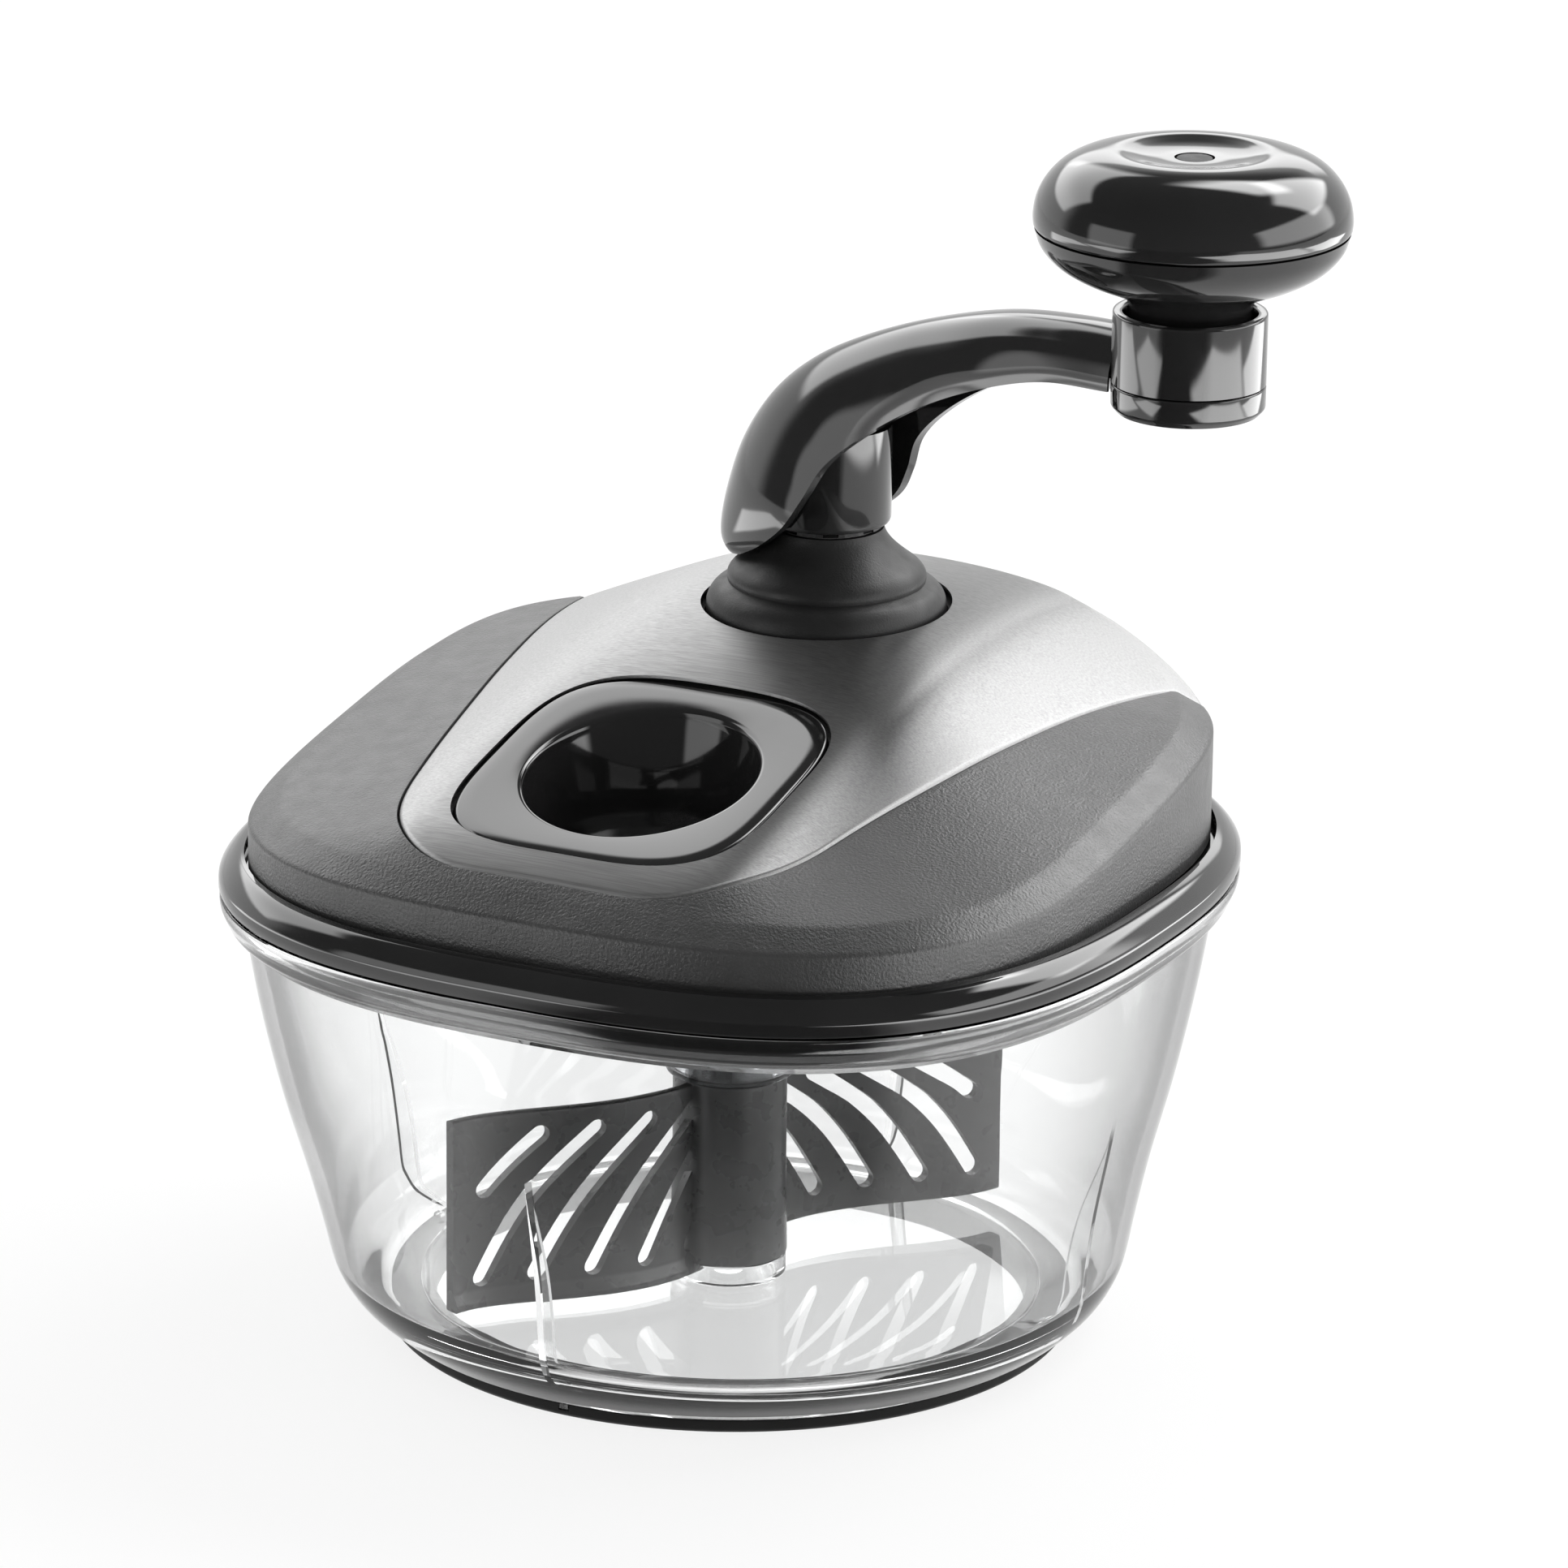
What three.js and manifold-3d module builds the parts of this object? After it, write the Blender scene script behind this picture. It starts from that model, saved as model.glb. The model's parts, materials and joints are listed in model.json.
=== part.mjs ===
// A hand cranked food chopper: a clear bowl that runs from a round foot to a rounded square rim,
// a wave-bladed paddle that turns on a pin in its floor, and a domed lid with a filler opening at
// the front and a crank at the back, which drives the paddle through a step-up gear pair.
// Lengths are millimetres. +Z is up, the table is z = 0, the bowl's axis is x = y = 0, and the
// filler opening faces -Y.
import * as THREE from 'three';
import { mergeVertices } from 'three/addons/utils/BufferGeometryUtils.js';
import Module from 'manifold-3d';

const wasm = await Module();
wasm.setup();

// Clearances that every piece shares
const SEAT_GAP = 0.3;
const RUN_GAP = 0.35;
const OVERRUN = 2;

// Facets round a large outline, a hand-sized round, a small round and a bush
const OUTLINE_STEPS = 36;
const ROUND_STEPS = 24;
const SMALL_STEPS = 8;
const BUSH_STEPS = 16;
const MERGE_TOLERANCE = 1e-5;
const FULL_TURN = 360;
const HEX_SIDES = 6;

// Bowl
const BOWL_TOP = 88;
const BOWL_LIP_HALF = 90.2;
const LIP_OVERHANG = 4.6;
const LIP_HEIGHT = 8;
const LIP_BULGE = 1.1;
const BOWL_WALL = 2.4;
const BOWL_NECK_HALF = BOWL_LIP_HALF - LIP_OVERHANG;
const BOWL_NECK_TOP = BOWL_TOP - LIP_HEIGHT;
const ROUND_POWER = 2;
const RIM_POWER = 2.64;
const FOOT_RADIUS = 65;
const FOOT_BOTTOM = 4.3;
const FOOT_RECESS = 2;
const FLOOR_THICKNESS = 1.9;
const FLOOR_BORDER = 6.5;
const FLOOR_FILLET = 5.6;
const FLOOR_UNDERSIDE = FOOT_BOTTOM + FOOT_RECESS;
const FLOOR_TOP = FLOOR_UNDERSIDE + FLOOR_THICKNESS;
const FLOOR_RADIUS = FOOT_RADIUS - FLOOR_BORDER;
const PIVOT_RING_RADIUS = 11;
const PIVOT_RING_HEIGHT = 3.8;
const PIVOT_RING_TOP = FLOOR_TOP + PIVOT_RING_HEIGHT;
const PIVOT_PIN_RADIUS = 3.6;
const RIB_HEIGHT = 43.8;
const RIB_TOP = FLOOR_TOP + RIB_HEIGHT;
const RIB_DEPTH = 3.6;
const RIB_THICKNESS = 1.6;
const RIB_COUNT = 4;
const LUG_WIDTH = 1.8;
const LUG_REACH = 1.4;
const LUG_DROP = 2;
// Outer wall: height, spread from foot to neck, and squareness from round to rim
const BOWL_HEIGHT_SHARES = [0, 0.022, 0.062, 0.141, 0.207, 0.366, 0.577, 0.802, 1];
const BOWL_SPREAD_SHARES = [0, 0.12, 0.26, 0.42, 0.5, 0.6, 0.745, 0.875, 1];
const BOWL_SQUARE_SHARES = [0, 0, 0.03, 0.15, 0.25, 0.5, 0.75, 0.93, 1];
// Lip: out from the neck, and up from the neck's top
const LIP_SHARES = [[0.75, 0.35], [1, 0.75], [1, 1]];
// Fillet round the floor: out from the floor, and up from it
const FLOOR_FILLET_SHARES = [[1, 1], [0.72, 0.42], [0.36, 0.12], [0, 0]];
// Levels of a rib, up from the floor to its top
const RIB_LEVEL_SHARES = [0.35, 0.7, 1];

// Base ring under the foot
const RING_WIDTH = 8;
const RING_LEDGE = 6;
const RING_EDGE = 0.7;
const RING_INNER = FOOT_RADIUS - RING_WIDTH;
const RING_LIP_RADIUS = FOOT_RADIUS - RING_LEDGE;

// Paddle, which stands below the bowl's rim
const PADDLE_DROP = 39.5;
const HUB_TOP = BOWL_TOP - PADDLE_DROP;
const HUB_RADIUS = 10.9;
const HUB_FLARE = 0.3;
const PIN_COVER = 8.5;
const PIVOT_PIN_TOP = HUB_TOP - PIN_COVER;
const BORE_DEPTH_MARGIN = 1.5;
const DRIVE_HEX = 14;
const DRIVE_HEX_HEIGHT = 13.5;
const DRIVE_HEX_TOP = HUB_TOP + DRIVE_HEX_HEIGHT;
const BLADE_OVERHANG = 2;
const BLADE_LIFT = 2;
const BLADE_REACH = FLOOR_RADIUS + BLADE_OVERHANG;
const BLADE_BOTTOM = FLOOR_TOP + BLADE_LIFT;
const BLADE_THICKNESS = 2.4;
const BLADE_STEP = 3;
const BLADE_ANGLE = -123;
const BLADE_LIP = 1.2;
// Centre line of a blade, along its chord and across it, as shares of its reach
const BLADE_ALONG_SHARES = [0.12, 0.45, 0.77, 1];
const BLADE_ACROSS_SHARES = [0.02, 0.2, -0.04, 0.015];
const BLADE_STEPS = 16;
const SLOT_WIDTH = 2.8;
const SLOT_PITCH = 10.9;
const SLOT_COUNT = 7;
const SLOT_FIRST = 10.6;
const SLOT_LEAN = 22.5;
const SLOT_BULGE = 1.6;
const SLOT_MARGIN_BELOW = 5.8;
const SLOT_MARGIN_ABOVE = 5;
const SLOT_RISE = HUB_TOP - BLADE_BOTTOM - SLOT_MARGIN_BELOW - SLOT_MARGIN_ABOVE;
const SLOT_INNER_END = 6.6;
const SLOT_OUTER_MARGIN = 7.3;
const SLOT_OUTER_END = BLADE_REACH - SLOT_OUTER_MARGIN;
const SLOT_STEPS = 4;

// Lid base, the glossy flange and floor, which sits on the bowl's lip
const FLANGE_PROUD = 0.1;
const FLANGE_WIDTH = 7.3;
const FLANGE_HEIGHT = 7.1;
const FLANGE_HALF = BOWL_LIP_HALF + FLANGE_PROUD;
const FLANGE_CREST = BOWL_TOP + FLANGE_HEIGHT;
// Flange outline: out from the groove to the rim, and up from the bowl to the crest
const FLANGE_SHARES = [[1, 0.18], [0.95, 0.5], [0.6, 0.82], [0.24, 1]];
const LID_FLOOR_LIFT = 2;
const LID_FLOOR = 2.5;
const LID_FLOOR_BOTTOM = BOWL_TOP + LID_FLOOR_LIFT;
const SKIRT_PLAY = 0.2;
const SKIRT_THICKNESS = 2.4;
const SKIRT_REACH = 1.5;
const SKIRT_HALF = BOWL_NECK_HALF - BOWL_WALL - SKIRT_PLAY;
const SKIRT_BOTTOM = BOWL_TOP - SKIRT_REACH;
const GROOVE_WIDTH = 1.4;

// Lid cover, the matt dome
const COVER_HALF = FLANGE_HALF - FLANGE_WIDTH;
const COVER_POWER = 2.95;
const COVER_WALL = 2.4;
const CHAMFER_INSET = 5.4;
const CHAMFER_DROP = 3.7;
const FRONT_WALL = 10.5;
const BACK_WALL_RISE = 11.8;
const EDGE_FRONT = FLANGE_CREST + FRONT_WALL;
const EDGE_BACK = EDGE_FRONT + BACK_WALL_RISE;
const EDGE_RAMP = 50;
const CROWN_RISE = 22.4;
const CROWN_LEVEL = EDGE_FRONT + CROWN_RISE;
const CROWN_SLOPE = 0.25;
const CROWN_BEND_START = -6;
const CROWN_BEND_LENGTH = 51;
const FRONT_ROLL = 1.8;
const FRONT_ROLL_LENGTH = 12.5;
const SHOULDER_SLOPE = 0.43;
const SHOULDER_ROUND = 5;
const ARCH_FRONT = 0.4;
const ARCH_BACK = 2.8;
const ARCH_RAMP_START = -40;
const ARCH_RAMP_END = 20;
const DOME_RING_SHARES = [0.93, 0.83, 0.69, 0.52, 0.3];

// Steel plate on the dome, and the filler opening's collar in it
const PLATE_THICKNESS = 0.6;
const PLATE_MARGIN = 3.1;
const PLATE_FRONT = COVER_HALF - CHAMFER_INSET - PLATE_MARGIN;
const PLATE_FRONT_FLAT = 15;
const PLATE_BORDER_FRONT = 7.3;
const PLATE_BORDER_SIDE = 12.8;
const PLATE_BORDER_CORNER = 6.8;
const PLATE_SKIRT = 2.4;
const PLATE_SKIRT_BOTTOM = EDGE_FRONT + PLATE_SKIRT;
const PLATE_FLARE = 0.2;
const PLATE_CORNER_STEPS = 8;
const COLLAR_BACK = 6.8;
const COLLAR_HALF = (PLATE_FRONT - PLATE_BORDER_FRONT - COLLAR_BACK) / 2;
const COLLAR_POWER = 3.6;
const COLLAR_SUNK = 1.1;
const COLLAR_THICKNESS = 2.2;
const COLLAR_EDGE = 0.5;
const FILLER_Y = -COLLAR_BACK - COLLAR_HALF;
const PLATE_SIDE_HALF = COLLAR_HALF + PLATE_BORDER_SIDE;
const PLATE_CORNER_HALF = COLLAR_HALF + PLATE_BORDER_CORNER;
const PLATE_CORNER_LENGTH = 9;
const PLATE_SIDE_START = PLATE_CORNER_LENGTH - FILLER_Y;
const SHOULDER_START = 4.8;
const SHOULDER_HALF = COLLAR_HALF + SHOULDER_START;

// Filler funnel under the collar
const COLLAR_BORDER = 8.4;
const THROAT_DRAW = 2.8;
const THROAT_LIFT = 10;
const FILLER_WALL = 1.8;
const FILLER_REACH = 1;
const FILLER_RADIUS = COLLAR_HALF - COLLAR_BORDER;
const FILLER_THROAT_RADIUS = FILLER_RADIUS - THROAT_DRAW;
const FILLER_THROAT_LEVEL = LID_FLOOR_BOTTOM + THROAT_LIFT;
const FILLER_BOTTOM = LID_FLOOR_BOTTOM - FILLER_REACH;
const SEAT_RIM = 2.6;
const SEAT_DEPTH = 3;
// Funnel walls: down from the collar to the throat, taper on the way, and lean with the crown
const FUNNEL_MOUTH_SHARES = [[0.04, 0, 1], [0.35, 0.2, 0.7], [0.7, 0.65, 0.3], [1, 1, 0]];
const FUNNEL_OUTSIDE_SHARES = [[1, 1, 0], [0.5, 0.45, 0.5], [0, 0, 1]];

// Gear pair, on parallel axes, as large as the cover has room for
const GEAR_TEETH = 45;
const PINION_TEETH = 15;
const PRESSURE_ANGLE = 20;
const BACKLASH = 0.3;
const ADDENDUM_FACTOR = 0.88;
const DEDENDUM_FACTOR = 1.3;
const GEAR_ROOM = 13.875;
const GEAR_SPAN_TEETH = GEAR_TEETH + PINION_TEETH / 2;
const GEAR_MODULE = (COVER_HALF - COVER_WALL - GEAR_ROOM) / (GEAR_SPAN_TEETH + ADDENDUM_FACTOR);
const GEAR_AXIS_Y = (GEAR_MODULE * (GEAR_TEETH + PINION_TEETH)) / 2;
const GEAR_LIFT = 7.5;
const GEAR_BOTTOM = LID_FLOOR_BOTTOM + LID_FLOOR + GEAR_LIFT;
const GEAR_WIDTH = 6;
const GEAR_WEB_INSET = 1.4;
const GEAR_RIM_WIDTH = 4;
const GEAR_HUB_WALL = 4;

// Bushes and the bosses that hold them
const BUSH_WALL = 2;
const BUSH_FLANGE = 1.2;
const BUSH_FLANGE_THICKNESS = 0.9;
const BOSS_WALL = 2.4;

// Crank shaft, bearing tower and coupling ring
const SHAFT_RADIUS = 6;
const SHAFT_FLAT_DEPTH = 1;
const SHAFT_FLAT = SHAFT_RADIUS - SHAFT_FLAT_DEPTH;
const SHAFT_COLLAR = 2.2;
const SHAFT_COLLAR_HEIGHT = 1.7;
const TOWER_STEP = 0.8;
const TOWER_HEIGHT = 17.4;
const TOWER_RADIUS = 23.1;
const TOWER_RIM = 4.8;
const TOWER_SHOULDER = 7.1;
const TOWER_NECK_CLEARANCE = 6;
const TOWER_BUSH_LENGTH = 7;
const TOWER_BOSS_DEPTH = 5.4;
const TOWER_SEAT = CROWN_LEVEL + TOWER_STEP;
const TOWER_TOP = TOWER_SEAT + TOWER_HEIGHT;
const TOWER_TOP_RADIUS = SHAFT_RADIUS + TOWER_RIM;
const TOWER_NECK_RADIUS = TOWER_RADIUS - TOWER_SHOULDER;
const TOWER_NECK_BOTTOM = GEAR_BOTTOM + GEAR_WIDTH + TOWER_NECK_CLEARANCE;
const BELL_HOLE_GAP = 1;
const BELL_HOLE_RADIUS = TOWER_RADIUS + BELL_HOLE_GAP;
// Bell outline: radius from its top to its foot, and height from its foot to its top
const BELL_SHARES = [
  [1, 0], [1, 0.07], [0.95, 0.17], [0.8, 0.27], [0.76, 0.37], [0.72, 0.44],
  [0.55, 0.55], [0.35, 0.66], [0.18, 0.78], [0.06, 0.9], [0, 1],
];
const COUPLING_RIM = 4.6;
const COUPLING_RADIUS = SHAFT_RADIUS + COUPLING_RIM;
const COUPLING_HEIGHT = 4.2;
const COUPLING_NOTCHES = 8;
const NOTCH_WIDTH = 3;
const NOTCH_HEIGHT = 1.9;

// Crank
const CRANK_ANGLE = -14.6;
const CRANK_REACH = 87.3;
const HOOD_DROP = 9.2;
const HOOD_TIP = TOWER_TOP - HOOD_DROP;
const ARM_RISE = 52.4;
const ARM_CREST = TOWER_TOP + ARM_RISE;
const HOOD_HALF = 19;
const HOOD_CLEARANCE = 1.2;
const ARM_WALL = 2.4;
const ARM_POWER = 2.5;
const ARM_SECTION_STEPS = 10;
const BOSS_RIM = 1.6;
const BOSS_LIFT = 1.3;
const BOSS_HEIGHT = 18.5;
const SHAFT_GRIP = 15.5;
const BOSS_RADIUS = COUPLING_RADIUS + BOSS_RIM;
const BOSS_BOTTOM = TOWER_TOP + BOSS_LIFT;
const BOSS_TOP = BOSS_BOTTOM + BOSS_HEIGHT;
const SHAFT_TOP = BOSS_BOTTOM + SHAFT_GRIP;
const WEB_THICKNESS = 2.4;
const COLUMN_RADIUS = 14.2;
const COLUMN_RISE = 5.7;
const COLUMN_DROP = 7.6;
const COLUMN_TOP = ARM_CREST + COLUMN_RISE;
const COLUMN_BOTTOM = ARM_CREST - COLUMN_DROP;
const COLUMN_WALL = 2.4;
const COLUMN_EDGE = 0.8;
const COLUMN_DISH_DEPTH = 3.1;
const COLUMN_FLOOR = 6.6;
const CAP_HEIGHT = 5.5;
const CAP_BOTTOM = COLUMN_BOTTOM - CAP_HEIGHT;
const CAP_FLOOR = 1.8;
const CAP_EDGE = 1.2;
const CAP_SPIGOT = 1.6;
// Stations from the column to the hood's tip: the crest and the open edge, out along the reach
// and up from the tip to the crest, then the half width as a share of the hood's
const ARM_STATION_SHARES = [
  [0.87, 1, 0.87, 0.837, 0.5],
  [0.687, 0.99, 0.693, 0.82, 0.5],
  [0.504, 0.955, 0.527, 0.756, 0.51],
  [0.31, 0.875, 0.355, 0.65, 0.54],
  [0.137, 0.77, 0.225, 0.535, 0.63],
  [0, 0.665, 0.132, 0.42, 0.77],
  [-0.115, 0.545, 0.086, 0.302, 0.9],
  [-0.206, 0.4, 0.04, 0.205, 0.98],
  [-0.263, 0.263, -0.034, 0.125, 0.96],
  [-0.298, 0.143, -0.126, 0.06, 0.82],
  [-0.309, 0.055, -0.2, 0.018, 0.55],
];
const TIP_OUT_SHARE = -0.262;

// Knob
const KNOB_RADIUS = 29;
const KNOB_UNDERSIDE_HEIGHT = 15.6;
const KNOB_CROWN_HEIGHT = 14;
const KNOB_SEAM = COLUMN_TOP + KNOB_UNDERSIDE_HEIGHT;
const KNOB_TOP = KNOB_SEAM + KNOB_CROWN_HEIGHT;
const KNOB_NECK_INSET = 2.8;
const KNOB_NECK_RADIUS = COLUMN_RADIUS - KNOB_NECK_INSET;
const KNOB_STEM_RADIUS = 6;
const KNOB_WALL = 2.4;
const KNOB_LEDGE = 0.25;
const DISH_RADIUS = 13.3;
const DISH_DEPTH = 1.1;
const PLUG_RADIUS = 3.3;
const PLUG_THICKNESS = 1;
const KNOB_WASHER_RIM = 3;
const KNOB_WASHER_RADIUS = KNOB_STEM_RADIUS + KNOB_WASHER_RIM;
const WASHER_THICKNESS = 1;
// Underside: out from the neck to the rim, and up from the column to the seam
const KNOB_UNDERSIDE_SHARES = [[0.06, 0.2], [0.275, 0.29], [0.555, 0.42], [0.785, 0.59], [0.935, 0.79]];
const KNOB_FLOOR_SHARES = [[0.505, 0.42], [0, 0.2]];
// Crown: out from the dish to the rim, and up from the seam to the top
const KNOB_CROWN_SHARES = [
  [1.007, 0.14], [0.972, 0.38], [0.871, 0.6], [0.704, 0.79], [0.483, 0.92], [0.224, 0.99],
];
const KNOB_CEILING_SHARES = [[0.372, 0.72], [0.668, 0.48], [0.815, 0.2]];
// Dish: out from its middle, and down from the knob's top
const DISH_SHARES = [[0.8, 0.45], [0.5, 0.92]];

// Fasteners
const SCREW_RADIUS = 1.5;
const SCREW_HEAD_RADIUS = 3;
const SCREW_HEAD_HEIGHT = 1.8;
const SCREW_HEAD_EDGE = 0.6;
const LID_SCREW_LENGTH = 8;
const LID_SCREW_INSET = 8.5;
const LID_SCREW_COUNT = 4;
const TOWER_SCREW_LENGTH = 8;
const TOWER_SCREW_INSET = 3.7;
const TOWER_SCREW_CIRCLE = TOWER_RADIUS - TOWER_SCREW_INSET;
const TOWER_SCREW_COUNT = 3;
const SOCKET_SCREW_LENGTH = 9;
const KNOB_SCREW_LENGTH = 16;

// Drive socket and spindle
const SOCKET_RADIUS = 12.3;
const SOCKET_GAP = 0.5;
const SOCKET_BOTTOM = HUB_TOP + SOCKET_GAP;
const SOCKET_DEPTH = 17;
const SOCKET_POCKET_RADIUS = 6.6;
const SOCKET_FLOOR = 6;
const SPINDLE_RADIUS = 4.5;
const SPINDLE_HEX = 6.4;
const SPINDLE_HEX_LENGTH = 5;
const SPINDLE_TOP_LENGTH = 5.5;

// Finishes
const finish = (color, roughness, metalness = 0) => new THREE.MeshStandardMaterial({
  color, roughness, metalness,
});
const clearPlastic = () => new THREE.MeshStandardMaterial({
  color: 0xeef1f2, roughness: 0.08, metalness: 0, transparent: true, opacity: 0.3,
});
const glossBlack = () => finish(0x161617, 0.12);
const mattBlack = () => finish(0x2b2b2c, 0.62);
const coverGrey = () => finish(0x38393b, 0.55);
const brushedSteel = () => finish(0xb9babb, 0.32, 1);
const paddleGrey = () => finish(0x484a4f, 0.35);
const rubberBlack = () => finish(0x232324, 0.85);
const gearWhite = () => finish(0xd9d8d2, 0.5);
const bronze = () => finish(0x9a7b4a, 0.4, 1);
const plainSteel = () => finish(0x8d8f92, 0.35, 1);
const smokedPlastic = () => new THREE.MeshStandardMaterial({
  color: 0x9fa3a8, roughness: 0.2, metalness: 0, transparent: true, opacity: 0.55,
});

const radians = THREE.MathUtils.degToRad;
const mix = THREE.MathUtils.lerp;
const middle = (a, b) => (a + b) / 2;
const ramp = (value, start, end) => THREE.MathUtils.smoothstep(value, start, end);
const circleAngles = (steps) => Array.from({ length: steps }, (_, k) => (2 * Math.PI * k) / steps);

// Turns a closed surface outward if its triangles face in
function faceOutward(geometry) {
  const place = geometry.attributes.position;
  const index = geometry.index.array;
  const corners = [new THREE.Vector3(), new THREE.Vector3(), new THREE.Vector3()];
  let volume = 0;
  for (let i = 0; i < index.length; i += 3) {
    corners.forEach((corner, k) => corner.fromBufferAttribute(place, index[i + k]));
    volume += corners[0].dot(corners[1].clone().cross(corners[2]));
  }
  if (volume < 0) {
    for (let i = 0; i < index.length; i += 3) {
      const first = index[i];
      index[i] = index[i + 1];
      index[i + 1] = first;
    }
  }
  return geometry;
}

// Skins a stack of rings of equal count into a closed surface. A ring of one point is a pole, and
// a looped stack joins its last ring to its first.
function skin(rings, looped = false) {
  const positions = [];
  const starts = [];
  const index = [];
  rings.forEach((ring) => {
    starts.push(positions.length / 3);
    ring.forEach((point) => positions.push(point.x, point.y, point.z));
  });
  const bands = looped ? rings.length : rings.length - 1;
  for (let i = 0; i < bands; i += 1) {
    const j = (i + 1) % rings.length;
    const [lower, upper] = [rings[i].length, rings[j].length];
    const count = Math.max(lower, upper);
    for (let k = 0; k < count; k += 1) {
      const a = starts[i] + (k % lower);
      const b = starts[i] + ((k + 1) % count) % lower;
      const c = starts[j] + ((k + 1) % count) % upper;
      const d = starts[j] + (k % upper);
      if (lower > 1) index.push(a, b, c);
      if (upper > 1) index.push(a, c, d);
    }
  }
  const geometry = new THREE.BufferGeometry();
  geometry.setAttribute('position', new THREE.Float32BufferAttribute(positions, 3));
  geometry.setIndex(index);
  return faceOutward(geometry);
}

function toSolid(geometry) {
  const bare = geometry.clone();
  bare.deleteAttribute('normal');
  bare.deleteAttribute('uv');
  const merged = faceOutward(mergeVertices(bare, MERGE_TOLERANCE));
  const mesh = new wasm.Mesh({
    numProp: 3,
    vertProperties: new Float32Array(merged.attributes.position.array),
    triVerts: new Uint32Array(merged.index.array),
  });
  return new wasm.Manifold(mesh);
}

function toGeometry(solid) {
  const mesh = solid.getMesh();
  const geometry = new THREE.BufferGeometry();
  geometry.setAttribute('position', new THREE.BufferAttribute(new Float32Array(mesh.vertProperties), 3));
  geometry.setIndex(Array.from(mesh.triVerts));
  return geometry;
}

// A revolve about Z from [radius, height] points that start and end on the axis, or close
function revolve(profile, steps = ROUND_STEPS) {
  const points = profile.map(([radius, height]) => new THREE.Vector2(radius, height));
  return toSolid(new THREE.LatheGeometry(points, steps).rotateX(Math.PI / 2));
}

// A revolve whose section doesn't touch the axis
const revolveRing = (profile, steps) => revolve([...profile, profile[0]], steps);

const cylinder = (radius, bottom, top, steps = ROUND_STEPS) => revolve(
  [[0, bottom], [radius, bottom], [radius, top], [0, top]],
  steps,
);

// A prism of a plan outline between two heights
function prism(outline, bottom, top) {
  const shape = new THREE.Shape(outline.map(([x, y]) => new THREE.Vector2(x, y)));
  const geometry = new THREE.ExtrudeGeometry(shape, { depth: top - bottom, bevelEnabled: false });
  return toSolid(geometry.translate(0, 0, bottom));
}

const box = (width, depth, bottom, top) => toSolid(
  new THREE.BoxGeometry(width, depth, top - bottom).translate(0, 0, (bottom + top) / 2),
);

// A regular hexagon of a size across its flats
function hexagon(across) {
  const radius = across / 2 / Math.cos(Math.PI / HEX_SIDES);
  return circleAngles(HEX_SIDES).map((angle) => [radius * Math.cos(angle), radius * Math.sin(angle)]);
}

function squareRadius(angle, half, power) {
  const spread = Math.abs(Math.cos(angle)) ** power + Math.abs(Math.sin(angle)) ** power;
  return half / spread ** (1 / power);
}

// A rounded square ring, at one height or at a height that its angle sets
function outlineRing(half, power, height) {
  return circleAngles(OUTLINE_STEPS).map((angle) => {
    const radius = squareRadius(angle, half, power);
    const level = typeof height === 'function' ? height(angle) : height;
    return new THREE.Vector3(radius * Math.cos(angle), radius * Math.sin(angle), level);
  });
}

const pole = (height) => [new THREE.Vector3(0, 0, height)];

// Reads a table of shares at a value of its first column
function readShares(keys, values, key) {
  const last = keys.length - 1;
  const next = keys.findIndex((entry) => entry >= key);
  if (next === 0) return values[0];
  if (next < 0) return values[last];
  const share = (key - keys[next - 1]) / (keys[next] - keys[next - 1]);
  return mix(values[next - 1], values[next], share);
}

function piece(name, solidOrGeometry, material) {
  const geometry = solidOrGeometry.isBufferGeometry ? solidOrGeometry : toGeometry(solidOrGeometry);
  const mesh = new THREE.Mesh(geometry, material);
  mesh.name = name;
  return mesh;
}

// Bowl
const bowlHeight = (share) => mix(FOOT_BOTTOM, BOWL_NECK_TOP, share);
const bowlShare = (height) => (height - FOOT_BOTTOM) / (BOWL_NECK_TOP - FOOT_BOTTOM);

function bowlOuterHalf(height) {
  const spread = readShares(BOWL_HEIGHT_SHARES, BOWL_SPREAD_SHARES, bowlShare(height));
  return mix(FOOT_RADIUS, BOWL_NECK_HALF, spread);
}

function bowlPower(height) {
  const squareness = readShares(BOWL_HEIGHT_SHARES, BOWL_SQUARE_SHARES, bowlShare(height));
  return mix(ROUND_POWER, RIM_POWER, squareness);
}

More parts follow.
